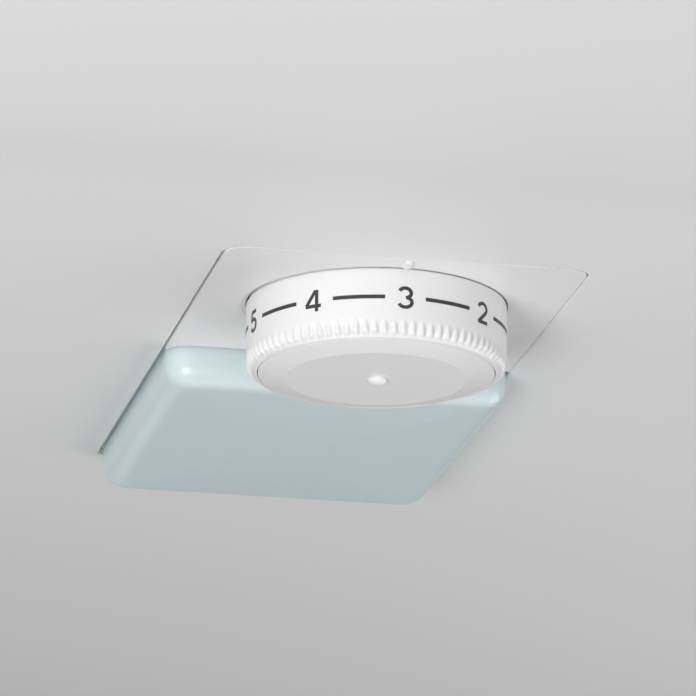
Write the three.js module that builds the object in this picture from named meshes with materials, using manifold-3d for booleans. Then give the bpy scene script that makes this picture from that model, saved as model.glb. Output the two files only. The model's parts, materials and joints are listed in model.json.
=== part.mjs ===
// Ceiling control unit of a refrigerator: a rotary thermostat and an interior lamp share one
// flush plate. The dial hangs below the plate and the lamp shines down through a tinted lens.
// Frame: +Z up, the plate's visible face is z = 0, the dial's axis is x = y = 0, and +Y runs
// from the dial towards the lens. Everything above z = 0 sits inside the recess. Millimetres.
import * as THREE from 'three';
import { mergeVertices } from 'three/addons/utils/BufferGeometryUtils.js';
import Module from 'manifold-3d';

const wasm = await Module();
wasm.setup();

// ---- Driving dimensions -------------------------------------------------------------------
const GAP = 0.3;                      // clearance between neighbouring pieces

const PLATE = { halfWidth: 31.25, front: -28, back: 104, thick: 2.4, corner: 4 };
const WELL = { r: 23.25, wall: 1.0, floor: 5.2, floorThick: 1.6, bore: 8 };
const MARKER = { halfWidth: 0.8, front: -27.0, back: -23.4, drop: 0.8 };

const HOUSING = { halfWidth: 27.5, front: -26.1, back: 101.1, wall: 1.5, top: 41, roof: 1.6 };
const PARTITION = { front: 31, thick: 1.5 };
const GASKET = { outerInset: 0.25, innerGap: 0.3, thick: 2 };

const LENS = { front: 29.9, back: 103.8, halfWidth: 31, depth: 7.2,
  rim: 0.9, wall: 1.8, corner: 5, edge: 4 };
const LENS_HINGE = { y: 102.6, z: -0.3, r: 1.15, lugFrom: 14.3, lugTo: 21.7, pin: 0.5, hole: 0.8 };
const LENS_SEAT = 1.2;                // the plate's lower face under the lens rim
const LAMP_WINDOW = { halfWidth: 27, front: 36, back: 92, corner: 3 };
const LATCH = { halfWidth: 6, front: 36.4, thick: 1.2, top: 5 };

const DIAL = { r: 22.5, skirtTop: 4.5, ribTop: -9.4, ribFoot: -11.8, lip: -12.1, wall: 1.5 };
const DIAL_FLOOR = { outside: -10.3, inside: -8.8 };
const RIBS = 86;
const RIB_DEPTH = 0.35;
const FACE = { r: 20.4, back: -10.6, edge: -11.95, flat: -13.05, flatR: 15.6, pipR: 1.7, pip: 0.42 };
const HUB = { r: 6, top: 4.4, boreR: 3.3, boreEnd: -8.6 };

const SHAFT = { r: 3, bottom: -8.2, top: 13.6, flat: 2.3, flatTop: 4.4 };
const DIAL_TRAVEL = THREE.MathUtils.degToRad(286);   // from 0 to 7 on the dial
const POSITION_AT_REST = 3 / 7;                      // the dial rests at 3
const CAM = { r: 9.8, trackR: 5.9, bottom: 11, hubTop: 12.5, atRest: 14.6, lift: 2.4 };

const BRACKET = { halfWidth: 22, halfDepth: 13.6, bottom: 7.1, thick: 1.2, cheekTop: 30.4, earTop: 36.4 };
const SCREW_X = 14;                   // the two fixing screws of a standard thermostat, 28 apart
const PIVOT_Y = -11.3;
const NOSE_Y = 8;
const FOLLOWER_Z = 18;
const LEVER_Z = 27.6;
const PIN_R = 1;
const ROD = { y: 19, r: 1.3 };

const SWITCH = { halfWidth: 17, front: 15.5, back: 29.7, bottom: 8.6, top: 22.4, wall: 1.5 };
const BLADE = { pivotX: -12, z: 16, tipX: 12, front: 18, back: 26, thick: 0.5 };
const TAB = { width: 6.3, thick: 0.8, reach: 22.8, y: 23.2 };

const LAMP_Z = 19;                    // height of the lamp's axis, which lies along Y
const FIXING_SCREW = { x: 20, y: 96, r: 1.9, headR: 3.5, headLow: -1.3, tip: 46 };

// ---- Materials ----------------------------------------------------------------------------
function finish(color, roughness, metalness = 0) {
  return new THREE.MeshStandardMaterial({ color, roughness, metalness });
}
const whiteAbs = finish(0xe9e9e6, 0.42);
const dialWhite = finish(0xf4f4f2, 0.32);
const lensBlue = finish(0xb9d3d8, 0.22);
const casing = finish(0xdcdcd6, 0.6);
const foam = finish(0x3a3a3a, 0.95);
const steel = finish(0xa8abad, 0.38, 1);
const brass = finish(0xb99a55, 0.35, 1);
const nylon = finish(0xe7e2d2, 0.5);
const bakelite = finish(0x3b2a20, 0.45);
const ceramic = finish(0xefebe0, 0.5);
const clearGlass = finish(0xdfe6e6, 0.08);
const aluminium = finish(0xd5d7d8, 0.3, 1);
const rubber = finish(0x2b2b2b, 0.85);
const wire = finish(0x6d3f2a, 0.6);

// ---- Solids -------------------------------------------------------------------------------
// A closed geometry becomes a manifold solid once its shared vertices are merged.
function solid(geometry) {
  const bare = geometry.clone();
  bare.deleteAttribute('normal');
  bare.deleteAttribute('uv');
  const merged = mergeVertices(bare, 1e-4);
  return new wasm.Manifold(new wasm.Mesh({
    numProp: 3,
    vertProperties: new Float32Array(merged.attributes.position.array),
    triVerts: new Uint32Array(merged.index.array),
  }));
}

function geometryOf(manifold) {
  const { vertProperties, triVerts } = manifold.getMesh();
  const geometry = new THREE.BufferGeometry();
  geometry.setAttribute('position', new THREE.BufferAttribute(new Float32Array(vertProperties), 3));
  geometry.setIndex(new THREE.BufferAttribute(new Uint32Array(triVerts), 1));
  geometry.computeVertexNormals();
  return geometry;
}

function block(x0, x1, y0, y1, z0, z1) {
  const geometry = new THREE.BoxGeometry(x1 - x0, y1 - y0, z1 - z0);
  return solid(geometry.translate((x0 + x1) / 2, (y0 + y1) / 2, (z0 + z1) / 2));
}

function roundedRect(x0, x1, y0, y1, r) {
  const shape = new THREE.Shape();
  shape.moveTo(x0 + r, y0);
  shape.lineTo(x1 - r, y0);
  shape.absarc(x1 - r, y0 + r, r, -Math.PI / 2, 0);
  shape.lineTo(x1, y1 - r);
  shape.absarc(x1 - r, y1 - r, r, 0, Math.PI / 2);
  shape.lineTo(x0 + r, y1);
  shape.absarc(x0 + r, y1 - r, r, Math.PI / 2, Math.PI);
  shape.lineTo(x0, y0 + r);
  shape.absarc(x0 + r, y0 + r, r, Math.PI, Math.PI * 1.5);
  return shape;
}

function slab(shape, z0, z1, curveSegments = 5) {
  const geometry = new THREE.ExtrudeGeometry(shape, { depth: z1 - z0, bevelEnabled: false, curveSegments });
  return solid(geometry.translate(0, 0, z0));
}

// A profile of [radius, height] pairs turned about +Z. It closes on the axis or on itself.
function turnedGeometry(profile, segments) {
  const points = profile.map(([r, z]) => new THREE.Vector2(r, z));
  return new THREE.LatheGeometry(points, segments).rotateX(Math.PI / 2);
}

// LatheGeometry faces outwards when its profile runs upwards on the outside.
function turned(profile, segments = 32) {
  return solid(turnedGeometry(profile, segments));
}

function tubeProfile(rIn, rOut, z0, z1) {
  return [[rIn, z0], [rOut, z0], [rOut, z1], [rIn, z1], [rIn, z0]];
}

function rodProfile(r, z0, z1) {
  return [[0, z0], [r, z0], [r, z1], [0, z1]];
}

function ring(rIn, rOut, z0, z1, segments = 32) {
  return turned(tubeProfile(rIn, rOut, z0, z1), segments);
}

function rod(r, z0, z1, segments = 24) {
  return turned(rodProfile(r, z0, z1), segments);
}

function toX(manifold) {
  return manifold.rotate([0, 90, 0]);
}

function toY(manifold) {
  return manifold.rotate([-90, 0, 0]);
}

function rodAlongX(r, x0, x1, y, z, segments = 16) {
  return toX(rod(r, x0, x1, segments)).translate([0, y, z]);
}

function sweep(points, r, steps, sides = 8) {
  const section = new THREE.Shape();
  section.absarc(0, 0, r, 0, Math.PI * 2);
  const extrudePath = new THREE.CatmullRomCurve3(points.map((p) => new THREE.Vector3(...p)));
  const options = { steps, extrudePath, curveSegments: sides / 2, bevelEnabled: false };
  return solid(new THREE.ExtrudeGeometry(section, options));
}

const unit = new THREE.Group();

function add(name, manifold, material) {
  const mesh = new THREE.Mesh(geometryOf(manifold), material);
  mesh.name = name;
  unit.add(mesh);
}

// ---- Plate, seal and housing --------------------------------------------------------------
function frontPlate() {
  const { halfWidth, front, back, thick, corner } = PLATE;
  const wellTop = WELL.floor + WELL.floorThick;
  let plate = slab(roundedRect(-halfWidth, halfWidth, front, back, corner), 0, thick);
  plate = plate.subtract(block(-40, 40, LENS.front - GAP, back + 1, -1, LENS_SEAT));
  plate = plate.add(rod(WELL.r + WELL.wall, 0.5, wellTop, 60));
  plate = plate.subtract(rod(WELL.r, -1, WELL.floor, 60));
  plate = plate.subtract(rod(WELL.bore, 4, wellTop + 1, 32));
  const { halfWidth: windowX, front: y0, back: y1, corner: r } = LAMP_WINDOW;
  plate = plate.subtract(slab(roundedRect(-windowX, windowX, y0, y1, r), -1, thick + 1));
  for (const side of [-1, 1]) {
    plate = plate.subtract(rod(2.3, 4, wellTop + 1, 16).translate([side * SCREW_X, 0, 0]));
    plate = plate.subtract(rod(2.3, 0, 4, 16).translate([side * FIXING_SCREW.x, FIXING_SCREW.y, 0]));
    plate = plate.add(hingeLug(side));
  }
  return plate.add(marker());
}

// The raised pointer in front of the dial, rounded at its outer end.
function marker() {
  const { halfWidth, front, back, drop } = MARKER;
  const bar = block(-halfWidth, halfWidth, front + halfWidth, back, -drop, 0.4);
  return bar.add(rod(halfWidth, -drop, 0.4, 16).translate([0, front + halfWidth, 0]));
}

function hingeLug(side) {
  const { y, z, lugFrom, lugTo, hole } = LENS_HINGE;
  const x0 = side > 0 ? lugFrom : -lugTo;
  const x1 = side > 0 ? lugTo : -lugFrom;
  const lug = block(x0, x1, y - 1.1, y + 1.1, z, LENS_SEAT + 0.2).add(rodAlongX(1.1, x0, x1, y, z));
  return lug.subtract(rodAlongX(hole, x0 - 1, x1 + 1, y, z));
}

function sealGasket() {
  const { outerInset, innerGap, thick } = GASKET;
  const z0 = PLATE.thick + GAP;
  const outer = roundedRect(
    -PLATE.halfWidth + outerInset, PLATE.halfWidth - outerInset,
    PLATE.front + outerInset, PLATE.back - outerInset, PLATE.corner);
  const inner = roundedRect(
    -HOUSING.halfWidth - innerGap, HOUSING.halfWidth + innerGap,
    HOUSING.front - innerGap, HOUSING.back + innerGap, 2.3);
  return slab(outer, z0, z0 + thick).subtract(slab(inner, z0 - 1, z0 + thick + 1));
}

const CAPILLARY_EXIT = { y: -16, z: 33, r: 1 };
const CABLE_EXIT = { x: -6, z: 31, r: 5 };
const WIRE_NOTCH = { x0: -25, x1: -15, z0: 26 };

function rearHousing() {
  const { halfWidth, front, back, wall, top, roof } = HOUSING;
  const z0 = PLATE.thick + GAP;
  const inX = halfWidth - wall;
  let housing = slab(roundedRect(-halfWidth, halfWidth, front, back, 2), z0, top, 4);
  const inside = roundedRect(-inX, inX, front + wall, back - wall, 0.6);
  housing = housing.subtract(slab(inside, z0 - 1, top - roof, 3));
  const { front: y0, thick } = PARTITION;
  let wallBetween = block(-inX - 0.5, inX + 0.5, y0, y0 + thick, z0, top - roof + 0.5);
  const notch = block(WIRE_NOTCH.x0, WIRE_NOTCH.x1, y0 - 1, y0 + thick + 1, WIRE_NOTCH.z0, 34);
  wallBetween = wallBetween.subtract(notch);
  housing = housing.add(wallBetween);
  for (const side of [-1, 1]) {
    const { x, y } = FIXING_SCREW;
    housing = housing.add(rod(3.6, z0, top - 0.5, 20).translate([side * x, y, 0]));
    housing = housing.add(block(side * x - 0.8, side * x + 0.8, y + 2, back - 0.5, z0, top - 0.5));
    housing = housing.subtract(rod(2.3, 0, top + 1, 16).translate([side * x, y, 0]));
  }
  const tubeHole = rodAlongX(3.6, -halfWidth - 1, -inX + 1, CAPILLARY_EXIT.y, CAPILLARY_EXIT.z, 20);
  housing = housing.subtract(tubeHole);
  const cableHole = toY(rod(CABLE_EXIT.r + 0.3, back - wall - 1, back + 1, 20));
  return housing.subtract(cableHole.translate([CABLE_EXIT.x, 0, CABLE_EXIT.z]));
}

function panHeadScrew(r, headR, headLow, headHigh, tip) {
  return turned([[0, headLow], [headR * 0.75, headLow], [headR, headHigh - 0.8], [headR, headHigh],
    [r, headHigh], [r, tip - r], [0.4, tip], [0, tip]], 14);
}

function crossRecess(size, z0, z1) {
  const arm = size / 4;
  return block(-size, size, -arm, arm, z0, z1).add(block(-arm, arm, -size, size, z0, z1));
}

function fixingScrew(side) {
  const { x, y, r, headR, headLow, tip } = FIXING_SCREW;
  const screw = panHeadScrew(r, headR, headLow, LENS_SEAT - GAP, tip);
  return screw.subtract(crossRecess(1.8, headLow - 1, headLow + 1)).translate([side * x, y, 0]);
}

// ---- Lens ---------------------------------------------------------------------------------
// A tray whose lower edge is rounded: the rounding is the extrusion's bevel, and what stands
// above the rim is cut away.
function lensTray(inset, depth, edge) {
  const { front, back, halfWidth, corner } = LENS;
  const x = halfWidth - inset - edge;
  const turn = Math.max(corner - inset - edge, 0.6);
  const outline = roundedRect(-x, x, front + inset + edge, back - inset - edge, turn);
  const bevel = { bevelEnabled: true, bevelThickness: edge, bevelSize: edge, bevelSegments: 3 };
  const options = { depth: 10, curveSegments: 4, ...bevel };
  const geometry = new THREE.ExtrudeGeometry(outline, options);
  return solid(geometry.translate(0, 0, -depth + edge));
}

function lampLens() {
  const { front, back, halfWidth, depth, rim, wall, edge } = LENS;
  const { y, z, r, lugFrom, lugTo, hole } = LENS_HINGE;
  const hollow = lensTray(wall, depth - wall, edge - 1.2);
  const hollowRoom = block(-halfWidth, halfWidth, front, y - r - 0.05, -10, 10);
  let lens = lensTray(0, depth, edge).subtract(hollow.intersect(hollowRoom));
  lens = lens.subtract(block(-50, 50, front - 5, back + 5, rim, 20));
  lens = lens.subtract(block(-50, 50, y, back + 5, z - 0.2, 5));
  lens = lens.add(rodAlongX(r, -26, 26, y, z, 20));
  for (const side of [-1, 1]) {
    const x0 = side > 0 ? lugFrom - GAP : -lugTo - GAP;
    const x1 = side > 0 ? lugTo + GAP : -lugFrom + GAP;
    lens = lens.subtract(block(x0, x1, y - r - 0.3, back + 1, z - r - 0.4, 5));
    lens = lens.subtract(rodAlongX(hole, x0 - 2.2, x1 + 2.2, y, z));
  }
  const { front: latchFront, thick: latchThick, halfWidth: latchX, top: latchTop } = LATCH;
  const latch = block(-latchX, latchX, latchFront, latchFront + latchThick, -depth + 1, latchTop);
  return lens.add(latch);
}

function lensPin(side) {
  const { y, z, lugFrom, lugTo, pin } = LENS_HINGE;
  const middle = (side * (lugFrom + lugTo)) / 2;
  const half = (lugTo - lugFrom) / 2 + 2;
  return rodAlongX(pin, middle - half, middle + half, y, z, 12);
}

// ---- Dial ---------------------------------------------------------------------------------
// The outside is one turned profile. Along its shoulder every second segment is set in, which
// leaves the ribs standing.
function dialOutside() {
  const { r, skirtTop, ribTop, ribFoot, lip } = DIAL;
  const profile = [
    [0, lip], [r - 1.4, lip], [r - 1.15, ribFoot], [r - 0.6, -11.3], [r - 0.15, -10.4], [r, ribTop],
    [r - 0.05, skirtTop], [0, skirtTop],
  ];
  const geometry = turnedGeometry(profile, RIBS * 2);
  const position = geometry.attributes.position;
  for (let i = 0; i < position.count; i += 1) {
    const segment = Math.floor(i / profile.length);
    const z = position.getZ(i);
    const onRibs = z > ribFoot - 0.01 && z < ribTop - 0.01;
    if (segment % 2 === 1 && onRibs) {
      const scale = 1 - RIB_DEPTH / r;
      position.setXY(i, position.getX(i) * scale, position.getY(i) * scale);
    }
  }
  return solid(geometry);
}

function dialShell() {
  const { skirtTop, lip, wall, r } = DIAL;
  const { outside, inside } = DIAL_FLOOR;
  const room = turned([[HUB.r, inside], [r - wall - 0.05, inside], [r - wall, skirtTop + 1],
    [0, skirtTop + 1], [0, HUB.top], [HUB.r, HUB.top], [HUB.r, inside]], 60);
  return dialOutside()
    .subtract(rod(FACE.r + GAP, lip - 1, outside, 60))
    .subtract(room)
    .subtract(rod(HUB.boreR, HUB.boreEnd, skirtTop + 1, 24));
}

// The face insert: a shallow cone that rises to a flat centre with a small pip.
function dialFace() {
  const { r, back, edge, flat, flatR, pipR, pip } = FACE;
  return turned([
    [0, flat - pip], [pipR * 0.7, flat - pip + 0.1], [pipR, flat], [flatR - 0.6, flat],
    [flatR + 0.3, flat + 0.15], [r - 0.3, edge - 0.12], [r, edge], [r, back], [0, back],
  ], 56);
}

function dialClip() {
  return ring(HUB.r + GAP, HUB.r + 1, 0.5, 3.5, 40).subtract(block(0, 10, -1.2, 1.2, 0, 5));
}

function controlShaft() {
  const { r, bottom, top, flat, flatTop } = SHAFT;
  const shaft = turned([[0, bottom], [r - 0.5, bottom], [r, bottom + 0.5], [r, top], [0, top]], 32);
  return shaft.subtract(block(-5, 5, flat, 5, bottom - 1, flatTop));
}

// The face cam: its track climbs evenly through the dial's travel and drops back in the rest
// of the turn. The follower's nose stands over the track on the +Y side.
function controlCam() {
  const { r, trackR, bottom, hubTop, atRest, lift } = CAM;
  const profile = [
    [HUB.boreR, bottom], [r, bottom], [r, atRest], [trackR, atRest], [trackR, hubTop],
    [HUB.boreR, hubTop], [HUB.boreR, bottom],
  ];
  const geometry = turnedGeometry(profile, 48);
  const position = geometry.attributes.position;
  const slope = lift / DIAL_TRAVEL;
  const toZero = DIAL_TRAVEL * POSITION_AT_REST;
  const toSeven = DIAL_TRAVEL - toZero;
  const dwell = Math.PI * 2 - DIAL_TRAVEL;
  for (let i = 0; i < position.count; i += 1) {
    if (Math.abs(position.getZ(i) - atRest) < 0.001) {
      const behind = Math.PI / 2 - Math.atan2(position.getY(i), position.getX(i));
      const turn = THREE.MathUtils.euclideanModulo(behind + toZero, Math.PI * 2) - toZero;
      const past = (turn - toSeven) / dwell;
      const height = turn <= toSeven ? turn * slope : toSeven * slope - past * lift;
      position.setZ(i, atRest + height);
    }
  }
  return solid(geometry);
}

// ---- Thermostat mechanism -----------------------------------------------------------------
function thermostatBracket() {
  const { halfWidth, halfDepth, bottom, thick, cheekTop, earTop } = BRACKET;
  let frame = block(-halfWidth, halfWidth, -halfDepth, halfDepth, bottom, bottom + thick);
  frame = frame.add(block(-12, 12, halfDepth - 1, SWITCH.back, bottom, bottom + thick));
  frame = frame.subtract(rod(5.7, 0, 20, 32));
  for (const side of [-1, 1]) {
    const x0 = side > 0 ? halfWidth - thick : -halfWidth;
    frame = frame.add(block(x0, x0 + thick, -halfDepth, halfDepth, bottom, cheekTop));
    frame = frame.add(block(x0, x0 + thick, -6, 10, cheekTop - 1, earTop));
    frame = frame.subtract(rod(2.2, 0, 20, 16).translate([side * SCREW_X, 0, 0]));
  }
  frame = frame.subtract(rodAlongX(PIN_R + GAP, -30, 30, PIVOT_Y, FOLLOWER_Z));
  return frame.subtract(rodAlongX(PIN_R + GAP, -30, 30, PIVOT_Y, LEVER_Z));
}

function shaftBush() {
  return turned([[HUB.boreR, 5.9], [5.4, 5.9], [5.4, 8.6], [7.2, 8.6], [7.2, 9.8], [4.6, 9.8],
    [4.6, 10.6], [HUB.boreR, 10.6], [HUB.boreR, 5.9]], 20);
}

function thermostatScrew(side) {
  const screw = panHeadScrew(1.9, 3.4, 2.9, WELL.floor - GAP, 10.5);
  return screw.subtract(crossRecess(1.7, 1.9, 3.8)).translate([side * SCREW_X, 0, 0]);
}

// A flat lever with a rolled eye round its pivot pin.
function lever(z, halfWidth, tip) {
  const eye = rodAlongX(2.1, -halfWidth, halfWidth, PIVOT_Y, z);
  const arm = block(-halfWidth, halfWidth, PIVOT_Y + 1, tip, z - 0.6, z + 0.6);
  return eye.add(arm).subtract(rodAlongX(PIN_R + GAP, -30, 30, PIVOT_Y, z));
}

function followerLever() {
  const noseLow = CAM.atRest + GAP;
  const nose = turned([[0, noseLow], [0.9, noseLow + 0.25], [1.5, noseLow + 1], [1.5, FOLLOWER_Z - 0.3],
    [0, FOLLOWER_Z - 0.3]], 16);
  return lever(FOLLOWER_Z, 4.5, 14.6).add(nose.translate([0, NOSE_Y, 0]));
}

function mainLever() {
  return lever(LEVER_Z, 7, ROD.y + 2.2);
}

const SPRING = { r: 2.6, wire: 0.45, turns: 4, y: 12.2, bottom: 19.3, top: 26.3 };

function rangeSpring() {
  const { r, wire: thickness, turns, y, bottom, top } = SPRING;
  const count = turns * 8;
  const points = Array.from({ length: count + 1 }, (_, i) => {
    const angle = (i / count) * turns * Math.PI * 2;
    return [r * Math.cos(angle), y + r * Math.sin(angle), bottom + ((top - bottom) * i) / count];
  });
  return sweep(points, thickness, turns * 12, 6);
}

const BELLOWS = { y: 2, bottom: 28.6, top: 35.2, small: 5, large: 7.2, folds: 4 };

function bellows() {
  const { y, bottom, top, small, large, folds } = BELLOWS;
  const bodyLow = bottom + 1.4;
  const pitch = (top - bodyLow) / folds;
  const profile = [[0, bottom], [2.2, bottom], [2.2, bodyLow]];
  for (let fold = 0; fold < folds; fold += 1) {
    const z = bodyLow + fold * pitch;
    profile.push([small, z], [large, z + pitch * 0.35], [large, z + pitch * 0.65]);
  }
  profile.push([small, top], [0, top]);
  return turned(profile, 20).translate([0, y, 0]);
}

function bellowsCup() {
  const { y, top, large } = BELLOWS;
  const outside = large + 1.3;
  const cup = turned([[large + 0.6, 31], [outside, 31], [outside, top + 1.1], [0, top + 1.1],
    [0, top + 0.4], [large + 0.6, top + 0.4], [large + 0.6, 31]], 24);
  return cup.translate([0, y, 0]);
}

function bellowsBridge() {
  const z0 = BRACKET.earTop + GAP;
  return block(-BRACKET.halfWidth, BRACKET.halfWidth, -6, 10, z0, z0 + 1.2);
}

function capillaryTube() {
  const { y, z, r } = CAPILLARY_EXIT;
  const route = [[0, -7.0, z], [-1, -12, z], [-7, -18, z], [-15, -19, z], [-22, y - 0.6, z], [-29, y, z]];
  return sweep(route, r, 20, 6);
}

function capillaryGland() {
  const sleeve = turned([[1.4, -28.2], [3.3, -28.2], [3.3, -25.7], [4.9, -25.7], [4.9, -24.6], [1.4, -24.6],
    [1.4, -28.2]], 20);
  return toX(sleeve).translate([0, CAPILLARY_EXIT.y, CAPILLARY_EXIT.z]);
}

// ---- Snap switch --------------------------------------------------------------------------
function switchBase() {
  const { halfWidth, front, back, bottom, top, wall } = SWITCH;
  let base = block(-halfWidth, halfWidth, front, back, bottom, top);
  const inX = halfWidth - wall;
  const inside = block(-inX, inX, front + wall, back - wall, bottom + wall, top + 1);
  base = base.subtract(inside);
  const low = TAB.y - TAB.width / 2 - GAP;
  const high = TAB.y + TAB.width / 2 + GAP;
  for (const [x0, x1, z] of [[-20, -15, 11.4], [15, 20, 11.4], [-20, -15, 18.6]]) {
    base = base.subtract(block(x0, x1, low, high, z - GAP, z + TAB.thick + GAP));
  }
  return base;
}

function switchCover() {
  const { halfWidth, front, back, top } = SWITCH;
  const plate = block(-halfWidth, halfWidth, front, back, top + GAP, top + GAP + 1.4);
  return plate.subtract(rod(ROD.r + GAP, 20, 30, 16).translate([0, ROD.y, 0]));
}

function terminal(x0, x1, z) {
  return block(x0, x1, TAB.y - TAB.width / 2, TAB.y + TAB.width / 2, z, z + TAB.thick);
}

function rivet(x, z0, z1) {
  return rod(1.6, z0, z1, 16).translate([x, TAB.y, 0]);
}

function contactBlade() {
  const { pivotX, z, tipX, front, back, thick } = BLADE;
  const blade = block(pivotX - 1.5, tipX, front, back, z - thick / 2, z + thick / 2);
  return blade.subtract(block(-8, -4, front + 2.5, back - 2.5, z - 2, z + 2));
}

function pushRod() {
  const z0 = BLADE.z + BLADE.thick / 2 + GAP;
  const z1 = LEVER_Z - 0.6 - GAP;
  return turned([[0, z0], [0.8, z0], [ROD.r, z0 + 0.6], [ROD.r, z1 - 0.6], [0.8, z1], [0, z1]], 16)
    .translate([0, ROD.y, 0]);
}

// ---- Lamp ---------------------------------------------------------------------------------
function alongLampAxis(profile, segments = 32) {
  return toY(turned(profile, segments)).translate([0, 0, LAMP_Z]);
}

function lampHolder() {
  const y0 = PARTITION.front + PARTITION.thick + GAP;
  return alongLampAxis([[0, y0], [12, y0], [12, 51], [10.6, 56.6], [8.6, 56.6], [8.6, 36.8], [0, 36.8]]);
}

function holderShell() {
  return alongLampAxis(tubeProfile(7.5, 8.2, 37.2, 56));
}

function holderContact() {
  const foot = block(-2, 2, 37.1, 37.6, LAMP_Z - 5, LAMP_Z + 5);
  return foot.add(block(-2, 2, 37.4, 39.5, LAMP_Z - 1, LAMP_Z + 1));
}

function bulbCap() {
  return alongLampAxis([[0, 39.9], [2.4, 39.9], [4.6, 42], [6.9, 43.4], [6.9, 57], [6.2, 57], [6.2, 44.2],
    [4, 43], [0, 43]]);
}

// The glass follows one profile out to its crown and back inside, so the neck stays open.
function bulbGlass() {
  const outside = [[5.8, 46], [5.8, 59], [8.5, 63], [11.4, 68], [12.8, 74], [12.8, 80], [11.2, 86],
    [7.5, 90.4],
    [3.6, 92]];
  const inside = outside.map(([r, y]) => [r - 0.8, y]).reverse();
  inside[0] = [3.2, 91.1];
  inside[1] = [7.0, 89.6];
  return alongLampAxis([...outside, [0, 92.4], [0, 91.5], ...inside, outside[0]], 20);
}

function bulbStem() {
  return alongLampAxis([[0, 47], [4, 47], [2.4, 52], [1.5, 62], [2, 64], [0, 65]], 16);
}

function bulbFilament() {
  const z = LAMP_Z;
  return sweep([[-1.2, 65.6, z], [-6, 74, z], [-4, 76.5, z], [0, 77.5, z], [4, 76.5, z], [6, 74, z],
    [1.2, 65.6, z]], 0.3, 24, 6);
}

function reflector() {
  const shape = new THREE.Shape();
  const outer = [[-24, 25], [-16, 36], [16, 36], [24, 25]];
  const inner = outer.map(([x, z]) => [x * 0.965, z - 0.6]).reverse();
  [...outer, ...inner].forEach(([x, z], i) => (i ? shape.lineTo(x, z) : shape.moveTo(x, z)));
  return slab(shape, -84, -60).rotate([90, 0, 0]);
}

function cableGrommet() {
  const { x, z, r } = CABLE_EXIT;
  const back = HOUSING.back;
  const sleeve = turned([[2.6, back - 3.2], [r + 1.4, back - 3.2], [r + 1.4, back - 1.8], [r, back - 1.8],
    [r, back + 1], [2.6, back + 1], [2.6, back - 3.2]], 20);
  return toY(sleeve).translate([x, 0, z]);
}

const LEAD_R = 0.9;

function leadSupply() {
  const { x, z } = CABLE_EXIT;
  const route = [[-23.6, TAB.y, 12.6], [-24.2, TAB.y, 18], [-24, 26, 25], [-22, 30, 29], [-21, 38, 30],
    [-21, 60, 35], [-20, 80, 36.2], [-17, 88, 35.6], [x - 1.4, 95, z + 0.6], [x - 1, HOUSING.back + 0.8, z]];
  return sweep(route, LEAD_R, 30, 6);
}

function leadLamp() {
  const z = 18.6 + TAB.thick + LEAD_R + GAP;
  const route = [[-19.4, TAB.y, z], [-20.2, TAB.y + 1, z + 3], [-19.4, 28, 27.4], [-18.4, 32, 28.4],
    [-15, 38, 28.8], [-10, 42, 29]];
  return sweep(route, LEAD_R, 14, 6);
}

// ---- Assembly -----------------------------------------------------------------------------
add('front_plate', frontPlate(), whiteAbs);
add('seal_gasket', sealGasket(), foam);
add('rear_housing', rearHousing(), casing);
add('fixing_screw_left', fixingScrew(-1), steel);
add('fixing_screw_right', fixingScrew(1), steel);

add('lamp_lens', lampLens(), lensBlue);
add('lens_pin_left', lensPin(-1), steel);
add('lens_pin_right', lensPin(1), steel);

add('dial_shell', dialShell(), dialWhite);
add('dial_face', dialFace(), dialWhite);
add('dial_clip', dialClip(), steel);
add('control_shaft', controlShaft(), brass);
add('shaft_circlip', ring(SHAFT.r + GAP, 5, 4.8, 5.5, 24).subtract(block(0, 8, -0.8, 0.8, 4, 6)), steel);
add('control_cam', controlCam(), nylon);

add('thermostat_bracket', thermostatBracket(), steel);
add('shaft_bush', shaftBush(), brass);
add('thermostat_screw_left', thermostatScrew(-1), steel);
add('thermostat_screw_right', thermostatScrew(1), steel);
add('follower_pin', rodAlongX(PIN_R, -23, 23, PIVOT_Y, FOLLOWER_Z), steel);
add('lever_pin', rodAlongX(PIN_R, -23, 23, PIVOT_Y, LEVER_Z), steel);
add('follower_lever', followerLever(), steel);
add('main_lever', mainLever(), steel);
add('range_spring', rangeSpring(), steel);
add('bellows', bellows(), brass);
add('bellows_cup', bellowsCup(), brass);
add('bellows_bridge', bellowsBridge(), steel);
add('capillary_tube', capillaryTube(), brass);
add('capillary_gland', capillaryGland(), rubber);

add('switch_base', switchBase(), bakelite);
add('switch_cover', switchCover(), bakelite);
add('push_rod', pushRod(), nylon);
add('contact_blade', contactBlade(), brass);
add('moving_contact', rivet(10, BLADE.z - BLADE.thick / 2 - GAP - 1, BLADE.z - BLADE.thick / 2 - GAP), steel);
add('fixed_contact', rivet(10, 11.4 + TAB.thick + GAP, 13), steel);
add('terminal_supply', terminal(-TAB.reach, -9, 11.4), brass);
add('terminal_compressor', terminal(7, TAB.reach, 11.4), brass);
add('terminal_lamp', terminal(-TAB.reach, -14.6, 18.6), brass);

add('lamp_holder', lampHolder(), ceramic);
add('holder_shell', holderShell(), brass);
add('holder_contact', holderContact(), brass);
add('bulb_cap', bulbCap(), aluminium);
add('bulb_glass', bulbGlass(), clearGlass);
add('bulb_stem', bulbStem(), clearGlass);
add('bulb_filament', bulbFilament(), steel);
add('reflector', reflector(), aluminium);
add('cable_grommet', cableGrommet(), rubber);
add('lead_supply', leadSupply(), wire);
add('lead_lamp', leadLamp(), wire);

export default unit;
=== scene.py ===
# %% [markdown]
# # A refrigerator's ceiling thermostat and lamp
# The part is a flush plate in the ceiling of a refrigerator. A ribbed dial hangs from it, a
# tinted lens covers the lamp behind the dial, and the thermostat and the lamp sit in a housing
# above, out of sight. The frame that we load holds every solid in its place. This script
# gives each one its finish, and models again, more finely, the pieces that the eye rests on.
# %% Load the frame
import json
import math

import bmesh
import bpy
import numpy as np
from mathutils import Matrix, Vector


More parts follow.
